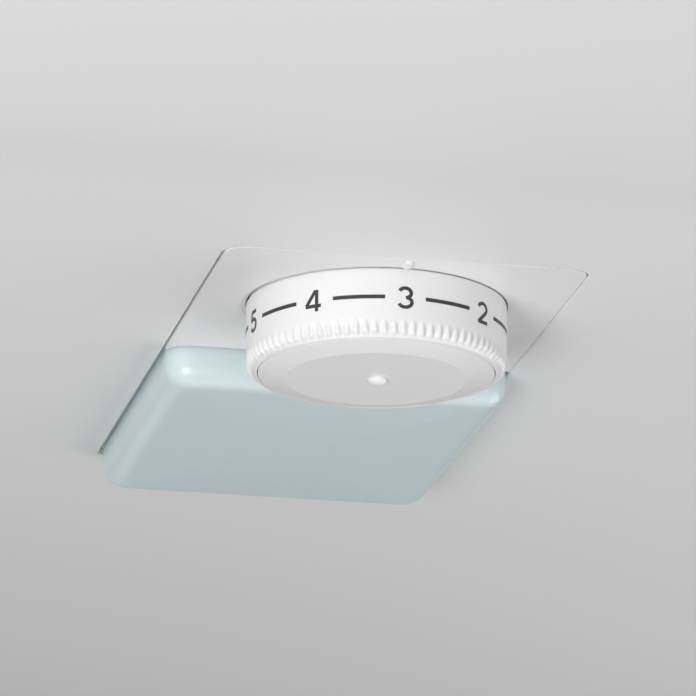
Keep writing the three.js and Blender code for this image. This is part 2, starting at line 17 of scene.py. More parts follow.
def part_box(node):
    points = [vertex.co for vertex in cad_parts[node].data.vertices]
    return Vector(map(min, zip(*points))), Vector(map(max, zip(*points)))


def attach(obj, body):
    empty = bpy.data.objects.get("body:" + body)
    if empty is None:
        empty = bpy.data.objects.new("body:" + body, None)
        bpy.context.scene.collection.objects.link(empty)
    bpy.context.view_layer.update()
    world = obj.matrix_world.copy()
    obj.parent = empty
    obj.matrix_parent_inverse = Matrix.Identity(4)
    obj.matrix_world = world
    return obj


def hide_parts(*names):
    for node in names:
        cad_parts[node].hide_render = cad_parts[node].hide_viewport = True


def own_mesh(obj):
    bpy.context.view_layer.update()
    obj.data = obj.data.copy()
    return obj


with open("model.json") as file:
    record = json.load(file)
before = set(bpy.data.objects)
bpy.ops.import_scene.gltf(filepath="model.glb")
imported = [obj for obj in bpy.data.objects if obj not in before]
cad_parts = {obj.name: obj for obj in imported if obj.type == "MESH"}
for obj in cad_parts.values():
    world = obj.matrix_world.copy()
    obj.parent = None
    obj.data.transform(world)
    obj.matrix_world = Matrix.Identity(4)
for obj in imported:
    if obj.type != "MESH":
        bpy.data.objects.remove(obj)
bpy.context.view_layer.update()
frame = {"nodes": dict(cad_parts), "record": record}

MM = 0.001
scene = bpy.context.scene

# %% [markdown]
# ## The camera
# The photographer stands about a metre in front of the unit, a little to its left, and looks up
# at it through a long lens, so that the plate's sides look almost parallel. We write the view
# as a heading, a tilt and a small roll, because those are what one sets on a tripod.
# %% Camera
CAMERA_PLACE = Vector((-205.9, -966.8, -309.8)) * MM
CAMERA_HEADING = math.radians(11.74)
CAMERA_TILT = math.radians(17.01)
CAMERA_ROLL = math.radians(-0.34)
FOCAL_LENGTH, SENSOR_WIDTH = 310.3, 36


def camera_axes(heading, tilt, roll):
    """Right, up and backward directions: forward is the heading raised by the tilt, and right
    and up are then turned about it by the roll."""
    ahead = Vector((math.sin(heading), math.cos(heading), 0))
    forward = ahead * math.cos(tilt) + Vector((0, 0, math.sin(tilt)))
    level = Vector((math.cos(heading), -math.sin(heading), 0))
    raised = level.cross(forward)
    right = level * math.cos(roll) - raised * math.sin(roll)
    up = raised * math.cos(roll) + level * math.sin(roll)
    return right, up, -forward


camera = bpy.data.objects.new("camera", bpy.data.cameras.new("camera"))
scene.collection.objects.link(camera)
scene.camera = camera
camera.data.sensor_width = SENSOR_WIDTH
camera.data.lens = FOCAL_LENGTH
camera.data.clip_start, camera.data.clip_end = 0.05, 20
camera.matrix_world = Matrix.LocRotScale(
    CAMERA_PLACE, Matrix(camera_axes(CAMERA_HEADING, CAMERA_TILT, CAMERA_ROLL)).transposed(), None)
print("camera:", round(CAMERA_PLACE.length, 3), "m from the dial's axis")

# %% [markdown]
# ## Soft light
# A refrigerator is a white box, so light reaches the unit from nearly everywhere. One broad
# source low on the left gives the bright side of the dial and the soft shadow on its right. The
# shelf, the door and the walls are weaker ones, and one low behind gives the lens its sheen,
# because the camera sees the lens at a low angle. Two more above light the housing, which shows
# only from other sides.
# %% Light
scene.view_settings.view_transform = "Standard"


def area_light(name, place, target, size, power):
    """A square soft box at a place, facing a target."""
    lamp = bpy.data.lights.new(name, "AREA")
    lamp.size = size
    lamp.energy = power
    holder = bpy.data.objects.new(name, lamp)
    place, target = Vector(place), Vector(target)
    holder.matrix_world = Matrix.LocRotScale(place, (target - place).to_track_quat("-Z", "Y"), None)
    scene.collection.objects.link(holder)
    return holder


DIAL_CENTRE = (0, 0, -0.006)
UNIT_TOP = (0, 0.04, 0.04)
area_light("soft_box_left", (-0.45, -0.55, -0.40), DIAL_CENTRE, 0.35, 4.25)
area_light("shelf_bounce", (0.0, 0.1, -1.2), DIAL_CENTRE, 0.9, 1.95)
area_light("door_opening", (0.1, -0.5, -0.25), DIAL_CENTRE, 0.35, 0.5)
area_light("side_wall_left", (-1.1, -0.1, -0.45), DIAL_CENTRE, 0.6, 0.81)
area_light("side_wall_right", (0.5, 0.15, -0.35), DIAL_CENTRE, 0.45, 1.46)
area_light("back_wall_left", (-0.25, 1.0, -0.36), (0, 0.06, 0), 0.5, 0.3)
area_light("top_key", (-0.6, -0.5, 0.9), UNIT_TOP, 0.6, 9.5)
area_light("top_fill", (0.7, 0.7, 0.8), UNIT_TOP, 0.9, 7.0)
BACKDROP, SKY_LIGHT = 0.80, 0.178


def pale_world():
    """An even, pale surrounding. It lights the object weakly, because the soft boxes do that
    work, but the camera sees it as a light grey backdrop."""
    world = bpy.data.worlds.new("pale_surroundings")
    scene.world = world
    world.use_nodes = True
    tree = world.node_tree
    background = tree.nodes["Background"]
    background.inputs["Color"].default_value = (BACKDROP, BACKDROP, BACKDROP, 1)
    seen = tree.nodes.new("ShaderNodeLightPath").outputs["Is Camera Ray"]
    strength = tree.nodes.new("ShaderNodeMapRange")
    strength.inputs["To Min"].default_value = SKY_LIGHT
    strength.inputs["To Max"].default_value = BACKDROP
    tree.links.new(seen, strength.inputs["Value"])
    tree.links.new(strength.outputs[0], background.inputs["Strength"])


pale_world()

# %% [markdown]
# ## Surfaces from grids
# Every new piece starts as a grid of points: one direction runs along a section and the other
# carries the section round. Numpy works out the whole grid at once. A grid can close in both
# directions, like a ring, or end in a pole, where a whole row shrinks to one point. Poles are
# stored once, so that the finished mesh is closed.
# %% Grid to mesh
def grid_faces(rows, columns, wrap_rows, pole_first, pole_last):
    """Quads between neighbouring rows and columns, the columns closing on themselves. A pole
    row is one vertex, so its quads become triangles."""
    row_start = np.arange(rows) * columns
    if pole_first:
        row_start = row_start - (columns - 1)
        row_start[0] = 0
    here = np.arange(columns)
    index = row_start[:, None] + here[None, :]
    if pole_first:
        index[0, :] = 0
    if pole_last:
        index[-1, :] = index[-1, 0]
    below = index if wrap_rows else index[:-1]
    above = np.roll(index, -1, 0) if wrap_rows else index[1:]
    beside = np.roll(here, -1)
    quads = np.stack([below, below[:, beside], above[:, beside], above], -1)
    faces = []
    for number, row in enumerate(quads):
        if pole_first and number == 0:
            faces += row[:, [0, 2, 3]].tolist()
        elif pole_last and number == len(quads) - 1:
            faces += row[:, [0, 1, 2]].tolist()
        else:
            faces += row.tolist()
    return faces


def grid_points(grid, pole_first, pole_last):
    """The grid's points in one list, with each pole kept once."""
    rows = [grid[0, :1]] if pole_first else [grid[0]]
    rows.append(grid[1:-1].reshape(-1, 3))
    rows.append(grid[-1, :1] if pole_last else grid[-1])
    return np.concatenate([r.reshape(-1, 3) for r in rows])


def signed_volume(points, faces):
    """Six times the volume is the sum of a . (b x c) over triangles fanned from each face."""
    total = 0.0
    for size in (3, 4):
        chosen = np.array([f for f in faces if len(f) == size])
        if len(chosen):
            for k in range(1, size - 1):
                a, b, c = (points[chosen[:, j]] for j in (0, k, k + 1))
                total += np.einsum("ij,ij->", a, np.cross(b, c))
    return total / 6


def mesh_piece(name, points, faces, sharp=40):
    """A mesh object from points in millimetres. If its volume is negative it is turned out."""
    if signed_volume(points, faces) < 0:
        faces = [f[::-1] for f in faces]
    mesh = bpy.data.meshes.new(name)
    mesh.from_pydata(points * MM, [], faces)
    mesh.validate()
    mesh.shade_smooth()
    mesh.set_sharp_from_angle(angle=math.radians(sharp))
    piece = bpy.data.objects.new(name, mesh)
    scene.collection.objects.link(piece)
    return piece


def grid_piece(name, grid, wrap_rows=False, pole_first=False, pole_last=False, sharp=40):
    """A closed piece from a grid of points in millimetres, rows by columns."""
    faces = grid_faces(len(grid), grid.shape[1], wrap_rows, pole_first, pole_last)
    return mesh_piece(name, grid_points(grid, pole_first, pole_last), faces, sharp)


def join_pieces(name, *pieces):
    """Puts several closed pieces of one moulding into one object."""
    work = bmesh.new()
    for piece in pieces:
        work.from_mesh(piece.data)
    mesh = bpy.data.meshes.new(name)
    work.to_mesh(mesh)
    work.free()
    for piece in pieces:
        bpy.data.objects.remove(piece)
    joined = bpy.data.objects.new(name, mesh)
    scene.collection.objects.link(joined)
    return joined


# %% [markdown]
# Round parts are a profile carried round an axis. A profile is drawn with few corners, and each
# corner is given a small radius, because no moulded edge is perfectly sharp: that radius is
# what catches the light.
# %% Profiles with rounded corners
def rounded_profile(corners, arc_points=5):
    """Each corner is (u, v, radius). The sharp corner is replaced by the arc that touches both
    of its sides, or by the corner itself where the radius is nought."""
    found = []
    for number, (u, v, radius) in enumerate(corners):
        corner = np.array([u, v], float)
        if radius <= 0 or number in (0, len(corners) - 1):
            found.append(corner[None])
            continue
        before = np.array(corners[number - 1][:2], float) - corner
        after = np.array(corners[number + 1][:2], float) - corner
        length_before, length_after = np.linalg.norm(before), np.linalg.norm(after)
        before, after = before / length_before, after / length_after
        half = math.acos(np.clip(before @ after, -1, 1)) / 2
        reach = min(radius / math.tan(half), 0.48 * length_before, 0.48 * length_after)
        t = np.linspace(0, 1, arc_points)[:, None]
        start, end = corner + before * reach, corner + after * reach
        found.append((1 - t) ** 2 * start + 2 * t * (1 - t) * corner + t ** 2 * end)
    return np.concatenate(found)


def spin(profile, columns, along="z", centre=(0, 0, 0)):
    """Turns a profile of (radius, height) round an axis: x = r cos a, y = r sin a, z = height,
    with the axes swapped for a piece that lies along Y."""
    angle = np.linspace(0, 2 * np.pi, columns, endpoint=False)[None, :]
    radius, height = profile[:, :1], profile[:, 1:2]
    across, other = radius * np.cos(angle), radius * np.sin(angle)
    level = np.broadcast_to(height, across.shape)
    order = {"z": (across, other, level), "y": (across, level, -other), "x": (level, across, other)}
    return np.stack(order[along], -1) + np.array(centre, float)


# %% [markdown]
# ## Effects that several finishes share
# A surface shows how it was made. A moulding has the fine grain of its tool and slight
# differences in gloss. Pressed metal has a direction and dull patches. Each effect is a node
# group that gives only a colour, a roughness and a normal, so that any finish can use it with
# its own values.
# %% Node helpers
SURFACE_OUTPUTS = [("Colour", "NodeSocketColor"), ("Roughness", "NodeSocketFloat"),
                   ("Normal", "NodeSocketVector")]


def plug(tree, socket, value):
    """Links a value that comes from a node, and sets a plain one."""
    if isinstance(value, bpy.types.NodeSocket):
        tree.links.new(value, socket)
    else:
        socket.default_value = value


def node(tree, kind, **sockets):
    """Adds a node and sets plain values or links on its named inputs."""
    made = tree.nodes.new(kind)
    for name, value in sockets.items():
        plug(tree, made.inputs[name.replace("_", " ")], value)
    return made


def start_group(name, inputs, outputs):
    """An empty shader group with named sockets. inputs is a list of (name, kind, default)."""
    tree = bpy.data.node_groups.new(name, "ShaderNodeTree")
    for label, kind, default in inputs:
        socket = tree.interface.new_socket(name=label, in_out="INPUT", socket_type=kind)
        socket.default_value = default
    for label, kind in outputs:
        tree.interface.new_socket(name=label, in_out="OUTPUT", socket_type=kind)
    return tree, tree.nodes.new("NodeGroupInput"), tree.nodes.new("NodeGroupOutput")


def give_surface(tree, result, colour, roughness, bump):
    """Puts a group's three outputs in place."""
    tree.links.new(colour, result.inputs["Colour"])
    tree.links.new(roughness, result.inputs["Roughness"])
    tree.links.new(bump.outputs[0], result.inputs["Normal"])
    return tree


def blend_colour(tree, factor, first, second):
    """A colour mix. Its colour sockets are found by kind, because the mix node has several."""
    mixer = tree.nodes.new("ShaderNodeMix")
    mixer.data_type = "RGBA"
    sockets = [mixer.inputs[0], mixer.inputs[6], mixer.inputs[7]]
    for socket, value in zip(sockets, (factor, first, second)):
        plug(tree, socket, value)
    return mixer.outputs[2]


def spread(tree, value, low, high, to_low, to_high):
    """Maps a value from one range to another and keeps it inside, easing in and out."""
    made = node(tree, "ShaderNodeMapRange", Value=value, From_Min=low, From_Max=high,
                To_Min=to_low, To_Max=to_high)
    made.interpolation_type = "SMOOTHSTEP"
    return made.outputs[0]


def arithmetic(tree, operation, first, second):
    """One step of arithmetic between two values."""
    made = tree.nodes.new("ShaderNodeMath")
    made.operation = operation
    for socket, value in zip(made.inputs, (first, second)):
        plug(tree, socket, value)
    return made.outputs[0]


# %% [markdown]
# **Moulded grain.** An injection tool is spark eroded, which leaves a fine, even grain. Larger,
# fainter patches come from handling and from the way the plastic cooled. Grain goes into the
# normal, and patches into colour and roughness.
# %% Moulded grain
def make_moulded_grain():
    """Colour = base varied by broad noise; roughness = base varied by broad noise; normal =
    bump of fine noise."""
    tree, given, result = start_group(
        "moulded_grain",
        [("Colour", "NodeSocketColor", (0.8, 0.8, 0.8, 1)),
         ("Patch Colour", "NodeSocketColor", (0.7, 0.7, 0.7, 1)),
         ("Roughness", "NodeSocketFloat", 0.4), ("Gloss Variation", "NodeSocketFloat", 0.08),
         ("Grain Size", "NodeSocketFloat", 4000.0), ("Grain Depth", "NodeSocketFloat", 0.1),
         ("Patch Size", "NodeSocketFloat", 90.0), ("Patch Amount", "NodeSocketFloat", 0.3)],
        SURFACE_OUTPUTS)
    place = tree.nodes.new("ShaderNodeTexCoord").outputs["Object"]
    fine = node(tree, "ShaderNodeTexNoise", Vector=place, Scale=given.outputs["Grain Size"], Detail=3.0)
    broad = node(tree, "ShaderNodeTexNoise", Vector=place, Scale=given.outputs["Patch Size"], Detail=1.0)
    patch = spread(tree, broad.outputs[0], 0.2, 0.8, 0.0, 1.0)
    amount = arithmetic(tree, "MULTIPLY", patch, given.outputs["Patch Amount"])
    colour = blend_colour(tree, amount, given.outputs["Colour"], given.outputs["Patch Colour"])
    swing = spread(tree, broad.outputs[0], 0.2, 0.8, -1.0, 1.0)
    change = arithmetic(tree, "MULTIPLY", swing, given.outputs["Gloss Variation"])
    roughness = arithmetic(tree, "ADD", given.outputs["Roughness"], change)
    bump = node(tree, "ShaderNodeBump", Height=fine.outputs[0], Strength=given.outputs["Grain Depth"],
                Distance=0.00003)
    return give_surface(tree, result, colour, roughness, bump)


moulded_grain = make_moulded_grain()

# %% [markdown]
# **Worked metal.** Sheet, wire and turned parts keep the direction they were worked in. We
# stretch a noise along one axis for the marks, and add slower patches where the plating or the
# bare metal has dulled.
# %% Worked metal
def make_worked_metal():
    """Streaks = noise squeezed across the working direction; tarnish = broad noise that pulls
    the colour to a duller one and raises the roughness."""
    tree, given, result = start_group(
        "worked_metal",
        [("Colour", "NodeSocketColor", (0.6, 0.6, 0.6, 1)),
         ("Dull Colour", "NodeSocketColor", (0.4, 0.4, 0.4, 1)),
         ("Roughness", "NodeSocketFloat", 0.35), ("Dulling", "NodeSocketFloat", 0.4),
         ("Marks", "NodeSocketVector", (900.0, 900.0, 60.0)), ("Mark Depth", "NodeSocketFloat", 0.15)],
        SURFACE_OUTPUTS)
    place = tree.nodes.new("ShaderNodeTexCoord").outputs["Object"]
    stretched = tree.nodes.new("ShaderNodeVectorMath")
    stretched.operation = "MULTIPLY"
    tree.links.new(place, stretched.inputs[0])
    tree.links.new(given.outputs["Marks"], stretched.inputs[1])
    streak = node(tree, "ShaderNodeTexNoise", Vector=stretched.outputs[0], Scale=1.0, Detail=4.0)
    broad = node(tree, "ShaderNodeTexNoise", Vector=place, Scale=220.0, Detail=5.0)
    tarnish = spread(tree, broad.outputs[0], 0.42, 0.72, 0.0, 1.0)
    amount = arithmetic(tree, "MULTIPLY", tarnish, given.outputs["Dulling"])
    colour = blend_colour(tree, amount, given.outputs["Colour"], given.outputs["Dull Colour"])
    rough_marks = spread(tree, streak.outputs[0], 0.3, 0.7, -0.06, 0.08)
    rough_patch = arithmetic(tree, "MULTIPLY", amount, 0.3)
    first = arithmetic(tree, "ADD", given.outputs["Roughness"], rough_marks)
    roughness = arithmetic(tree, "ADD", first, rough_patch)
    bump = node(tree, "ShaderNodeBump", Height=streak.outputs[0], Strength=given.outputs["Mark Depth"],
                Distance=0.00005)
    return give_surface(tree, result, colour, roughness, bump)


worked_metal = make_worked_metal()

# %% [markdown]
# ## Finishes
# Each finish is one material. The Principled shader stays in the material itself, and the
# effect groups feed its colour, roughness and normal.
# %% Building a finish
def grey(level):
    """A neutral colour of one level."""
    return (level, level, level, 1)


def start_finish(name, effect, **values):
    """A material whose Principled shader takes colour, roughness and normal from an effect."""
    material = bpy.data.materials.new(name)
    material.use_nodes = True
    tree = material.node_tree
    shader = tree.nodes["Principled BSDF"]
    group = tree.nodes.new("ShaderNodeGroup")
    group.node_tree = effect
    for label, value in values.items():
        group.inputs[label.replace("_", " ")].default_value = value
    tree.links.new(group.outputs["Colour"], shader.inputs["Base Color"])
    tree.links.new(group.outputs["Roughness"], shader.inputs["Roughness"])
    tree.links.new(group.outputs["Normal"], shader.inputs["Normal"])
    return material, tree, shader, group


def plastic(name, colour, patch, roughness, grain_size=4000.0, grain_depth=0.1, **more):
    """A moulded plastic: no metal, a plain refractive index, and grain."""
    material, _, shader, _ = start_finish(
        name, moulded_grain, Colour=colour, Patch_Colour=patch, Roughness=roughness, Grain_Size=grain_size,
        Grain_Depth=grain_depth, **more)
    shader.inputs["IOR"].default_value = 1.5
    return material


def metal(name, colour, dull, roughness, marks=(900.0, 900.0, 60.0), **more):
    """A bare or plated metal."""
    material, _, shader, _ = start_finish(
        name, worked_metal, Colour=colour, Dull_Colour=dull, Roughness=roughness, Marks=marks, **more)
    shader.inputs["Metallic"].default_value = 1.0
    return material


# %% [markdown]
# The plate and the housing are satin mouldings. The dial is the same white plastic from a better polished
# tool, so it is smoother and glossier. Its grooves are a little duller than the tips of its ribs, which
# fingers polish, and their colour is darkened towards grey as painted shade, standing for the shade that
# falls down between the ribs: an attribute on the dial's mesh says how far each point is down a groove.
# %% White plastics
plate_white = plastic("plate_white_satin", grey(0.80), (0.765, 0.765, 0.755, 1), 0.42, 5200.0, 0.12,
                      Patch_Amount=0.06, Gloss_Variation=0.0)
housing_white = plastic("housing_offwhite", (0.80, 0.80, 0.775, 1), (0.74, 0.74, 0.71, 1), 0.5, 3200.0, 0.3,
                        Patch_Amount=0.4, Patch_Size=45.0)


def make_dial_white():
    """The dial's finish: its roughness follows the groove attribute, and so does its colour, which is
    darkened in the grooves as painted shade.
    """
    material, tree, shader, group = start_finish(
        "dial_white_gloss", moulded_grain, Colour=grey(0.86), Patch_Colour=grey(0.835), Roughness=0.30,
        Grain_Size=7000.0, Grain_Depth=0.05, Patch_Amount=0.06, Gloss_Variation=0.0)
    groove = tree.nodes.new("ShaderNodeAttribute")
    groove.attribute_name = "groove"
    # Painted shade: the colour is pulled towards grey the deeper a point lies in a groove, where shade falls
    # between the ribs.
    colour = blend_colour(tree, arithmetic(tree, "MULTIPLY", groove.outputs["Fac"], 0.35),
                          group.outputs["Colour"], grey(0.6))
    tree.links.new(colour, shader.inputs["Base Color"])
    duller = arithmetic(tree, "MULTIPLY", groove.outputs["Fac"], 0.2)
    tree.links.new(arithmetic(tree, "ADD", group.outputs["Roughness"], duller), shader.inputs["Roughness"])
    shader.inputs["IOR"].default_value = 1.53
    return material


dial_white = make_dial_white()

# %% [markdown]
# The lens is tinted polystyrene with a milky filler. Light enters it and comes out beside where
# it went in, so its rounded edges look paler than its flat. A little subsurface scattering does
# that, and a thin gloss on top gives the small highlight at its corner.
# %% Lens plastic
def make_lens_blue():
    """Milky tinted plastic: scattering under a smooth skin."""
    material, _, shader, _ = start_finish(
        "lens_milky_blue", moulded_grain, Colour=(0.685, 0.885, 0.935, 1),
        Patch_Colour=(0.665, 0.865, 0.915, 1), Roughness=0.3, Grain_Size=2600.0, Grain_Depth=0.04,
        Patch_Amount=0.06, Gloss_Variation=0.0)
    shader.inputs["Subsurface Weight"].default_value = 0.6
    shader.inputs["Subsurface Radius"].default_value = (0.8, 1.0, 1.0)
    shader.inputs["Subsurface Scale"].default_value = 0.006
    shader.inputs["IOR"].default_value = 1.55
    shader.inputs["Coat Weight"].default_value = 0.1
    shader.inputs["Coat Roughness"].default_value = 0.2
    return material


lens_blue = make_lens_blue()
ink = plastic("scale_ink_grey", grey(0.035), grey(0.05), 0.42, 9000.0, 0.3, Patch_Amount=0.7,
              Patch_Size=900.0)
print("finishes so far:", len(bpy.data.materials))

# %% [markdown]
# ## The dial's skin
# The dial is a cup with a smooth skirt. Around its lower shoulder run fine ribs for the
# fingers. The tips of the ribs carry on down the skirt's line, while the grooves between them
# follow the shoulder in, so the ribs seem to grow out of the skirt. We compute two profiles,
# one for tips and one for grooves, and let the larger radius win at each point round the dial.
# Where the dial enters the plate its skirt steps in, which draws the fine line of shadow.
# %% Dial dimensions
dial_low, dial_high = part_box("dial_shell")
DIAL_R = dial_high.x / MM
DIAL_TOP = dial_high.z / MM
DIAL_LIP = dial_low.z / MM
RIBS = 86
POINTS_PER_RIB = 10
WALL = 1.5
SLEEVE_R = DIAL_R - 0.45
SHOULDER_Z = -0.08
FACE_SEAT_R, FACE_SEAT_Z = 20.55, -10.3
RIB_TOP, RIB_BACK, WEB_TOP = -8.8, 0.85, -8.8
SOCKET_R, SOCKET_END, BOSS_R, BOSS_TOP = 3.3, -8.6, 6.0, 4.4
print("dial:", round(DIAL_R * 2, 2), "mm across, lip at", round(DIAL_LIP, 2), "mm")
# %% Dial skin
def along(stations, count):
    """Evenly spaced points on a smooth line through a few stations."""
    stations = np.array(stations, float)
    where = np.linspace(0, len(stations) - 1, count)
    left = np.clip(where.astype(int), 0, len(stations) - 2)
    t = (where - left)[:, None]
    before = stations[np.clip(left - 1, 0, None)]
    after = stations[np.clip(left + 2, None, len(stations) - 1)]
    a, b = stations[left], stations[left + 1]
    return 0.5 * (2 * a + (b - before) * t + (2 * before - 5 * a + 4 * b - after) * t ** 2
                  + (3 * a - before - 3 * b + after) * t ** 3)


def soft_maximum(first, second, width):
    """The larger of two arrays, with the crease between them rounded over a width."""
    return 0.5 * (first + second + np.sqrt((first - second) ** 2 + width ** 2))


def dial_skin():
    """Each rib is a rod with a round back, and between the rods lies a cone. The radius is the
    larger of the two: rod = tip profile - drop * (distance from the rib's middle / half a pitch)
    squared, and cone = groove profile. High up only the rods' backs break the cone, so each rib
    starts as a point and widens towards the lip."""
    foot = DIAL_LIP + 0.58
    tips = along([(DIAL_R, RIB_TOP), (DIAL_R, -9.6), (DIAL_R, -10.3), (DIAL_R - 0.10, -10.9),
                  (DIAL_R - 0.36, -11.3), (DIAL_R - 0.80, foot)], 24)
    cone = along([(DIAL_R, RIB_TOP), (DIAL_R - 0.20, -9.6), (DIAL_R - 0.46, -10.3), (DIAL_R - 0.72, -10.9),
                  (DIAL_R - 0.90, -11.3), (DIAL_R - 1.0, foot)], 24)
    web_edge = (DIAL_R - WALL - 0.1, WEB_TOP, 0)
    above = rounded_profile([web_edge, (DIAL_R - WALL, DIAL_TOP, 0.5), (SLEEVE_R, DIAL_TOP, 0.4),
                             (SLEEVE_R, SHOULDER_Z, 0.1), (DIAL_R, SHOULDER_Z, 0.1),
                             (DIAL_R, RIB_TOP, 0)])[:-1]
    skirt = np.linspace(above[-1], tips[0], 7)[1:-1]
    lip = rounded_profile([(DIAL_R - 0.9, foot, 0), (DIAL_R - 1.28, DIAL_LIP + 0.17, 0.35),
                           (FACE_SEAT_R, DIAL_LIP, 0.03), (FACE_SEAT_R, FACE_SEAT_Z, 0.2),
                           (0.0, FACE_SEAT_Z, 0)])[1:]
    hub = rounded_profile([(0, SOCKET_END, 0), (SOCKET_R, SOCKET_END, 0.2), (SOCKET_R, BOSS_TOP, 0.3),
                           (BOSS_R, BOSS_TOP, 0.4), (BOSS_R, WEB_TOP, 0.8), web_edge])[:-1]
    columns = RIBS * POINTS_PER_RIB
    angle = np.linspace(0, 2 * np.pi, columns, endpoint=False)
    from_middle = np.abs((angle * RIBS / (2 * np.pi) + 0.5) % 1.0 - 0.5) * 2
    drop = RIB_BACK * from_middle[None, :] ** 2
    grown = np.clip(np.linspace(0, 6, len(tips)), 0, 1)[:, None]
    rod_r = tips[:, :1] - drop
    ribs_r = soft_maximum(rod_r, cone[:, :1], 0.05) - 0.025
    ribs_r = tips[:, :1] * (1 - grown) + ribs_r * grown
    ribs = np.stack([ribs_r, np.broadcast_to(tips[:, 1:2], ribs_r.shape)], -1)

    def plain(part):
        return np.broadcast_to(part[:, None, :], (len(part), columns, 2))

    section = np.concatenate([plain(hub), plain(above), plain(skirt), ribs, plain(lip)])
    grid = np.stack([section[..., 0] * np.sin(angle), -section[..., 0] * np.cos(angle), section[..., 1]], -1)
    piece = grid_piece("dial_skin", grid, pole_first=True, pole_last=True, sharp=60)
    # How far each point lies down a groove; the dial's finish darkens its colour by this as painted shade.
    depth = np.zeros(section.shape[:2])
    start = len(hub) + len(above) + len(skirt)
    depth[start:start + len(ribs)] = (tips[:, :1] - ribs_r) * 1.3
    groove = piece.data.attributes.new("groove", "FLOAT", "POINT")
    stored = grid_points(np.repeat(depth[..., None], 3, 2), True, True)[:, 0]
    groove.data.foreach_set("value", np.clip(stored, 0, 1).astype(np.float32))
    return piece


def placed(piece, finish, body, slot_name, *nodes):
    """Gives a new piece its finish, the body it moves with, and what it stands for. Its slot's name is not
    used.
    """
    piece.data.materials.append(finish)
    if nodes:
        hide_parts(*nodes)
        already.update(nodes)
    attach(piece, body)
    return piece


already = set()
dial = placed(dial_skin(), dial_white, "dial", "dial_white", "dial_shell")
print("dial skin:", len(dial.data.polygons), "faces,", RIBS, "ribs")

# %% [markdown]
# ## The dial's face
# The face is a separate disc pressed into the dial: a shallow cone that rises to a flat centre,
# with a small domed pip where the mould was filled. The step where cone meets flat is soft,
# and only its shading shows.
# %% Dial face
FACE_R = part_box("dial_face")[1].x / MM
PIP_CENTRE = np.array([0.35, 0.0])


def dial_face():
    """A profile turned about the axis: rim, cone, flat, and a pip shaped as half an ellipsoid,
    height = pip height * sqrt(1 - (r / pip radius) ** 2). The pip is then moved a little aside,
    where the tool's gate was."""
    flat_z, edge_z, back_z = -13.05, -12.09, -10.6
    flat_r, pip_r, pip_height = 15.6, 1.76, 1.05
    turn = np.linspace(0, np.pi / 2, 12)
    pip = np.stack([pip_r * np.sin(turn), flat_z - pip_height * np.cos(turn)], 1)
    body = rounded_profile([(pip_r + 0.1, flat_z, 0), (flat_r, flat_z, 0.9), (FACE_R, edge_z, 0.06),
                            (FACE_R, back_z, 0.3), (0.0, back_z, 0)], 8)
    grid = spin(np.concatenate([pip, body]), 180)
    grid[:len(pip), :, :2] += PIP_CENTRE * np.linspace(1, 0, len(pip))[:, None, None] ** 0.1
    return grid_piece("dial_face_disc", grid, pole_first=True, pole_last=True)


placed(dial_face(), dial_white, "dial", "dial_white", "dial_face")

# %% [markdown]
# ## The printed scale
# The numerals are pad printed on the skirt in grey ink, from 0 to 7, and a dash joins each to
# the next. A real print is a film of ink a few hundredths of a millimetre thick, so we build it
# as that: strokes of even width, drawn flat, then bent round the skirt. Each numeral is a few
# arcs and straight lines, which keeps it a plain, generic face.
# %% Stroke shapes
NUMERAL_HEIGHT = 3.95
NUMERAL_WIDENING = 1.24
STROKE = 0.62
DASH_STROKE = 0.67
INK_THICKNESS = 0.03
DIAL_STEP = math.radians(286 / 7)
SCALE_OFFSET = math.radians(0.6)


def arc(cx, cy, rx, ry, start, end, count=18):
    """Points on an ellipse's arc, angles in degrees from +X."""
    a = np.radians(np.linspace(start, end, count))
    return np.stack([cx + rx * np.cos(a), cy + ry * np.sin(a)], 1)


def line(*corners):
    """A straight path with a few points on each stretch, so that it can bend round the dial."""
    corners = np.array(corners, float)
    parts = [np.linspace(a, b, 7)[:-1] for a, b in zip(corners[:-1], corners[1:])]
    return np.concatenate([*parts, corners[-1:]])


# Each numeral is in a box 1 high and about 0.6 wide, centred on x = 0.
NUMERALS = {
    0: [arc(0, 0.5, 0.24, 0.43, 90, 450, 40)],
    1: [line((-0.17, 0.74), (0.03, 0.93)), line((0.05, 0.0), (0.05, 0.98))],
    2: [np.concatenate([arc(0, 0.69, 0.235, 0.24, 165, -38, 20), line((0.15, 0.50), (-0.24, 0.07))[1:]]),
        line((-0.27, 0.07), (0.28, 0.07))],
    3: [arc(-0.01, 0.71, 0.215, 0.22, 158, -85, 22), arc(-0.01, 0.285, 0.24, 0.225, 82, -160, 24)],
    4: [line((0.12, 0.0), (0.12, 0.98)), line((0.08, 0.96), (-0.29, 0.28)),
        line((-0.32, 0.25), (0.29, 0.25))],
    5: [line((0.23, 0.93), (-0.15, 0.93)), line((-0.14, 0.95), (-0.21, 0.50)),
        arc(-0.01, 0.33, 0.24, 0.265, 140, -155, 26)],
    6: [arc(0, 0.31, 0.235, 0.245, 0, 360, 36), arc(0.05, 0.46, 0.285, 0.47, 182, 68, 20)],
    7: [line((-0.26, 0.93), (0.26, 0.93)), line((0.23, 0.93), (0.02, 0.45), (-0.07, 0.0))],
}


def stroke_outline(path, width):
    """Points to the left and right of a path, half a width along the normal on each side."""
    step = np.gradient(path, axis=0)
    step /= np.linalg.norm(step, axis=1)[:, None]
    aside = np.stack([-step[:, 1], step[:, 0]], 1) * width / 2
    return path + aside, path - aside


def on_skirt(flat, middle, radius):
    """Bends flat points (across, up) round the skirt: angle = middle + across / radius."""
    angle = middle + flat[..., 0] / DIAL_R
    return np.stack([radius * np.sin(angle), -radius * np.cos(angle), flat[..., 1]], -1)


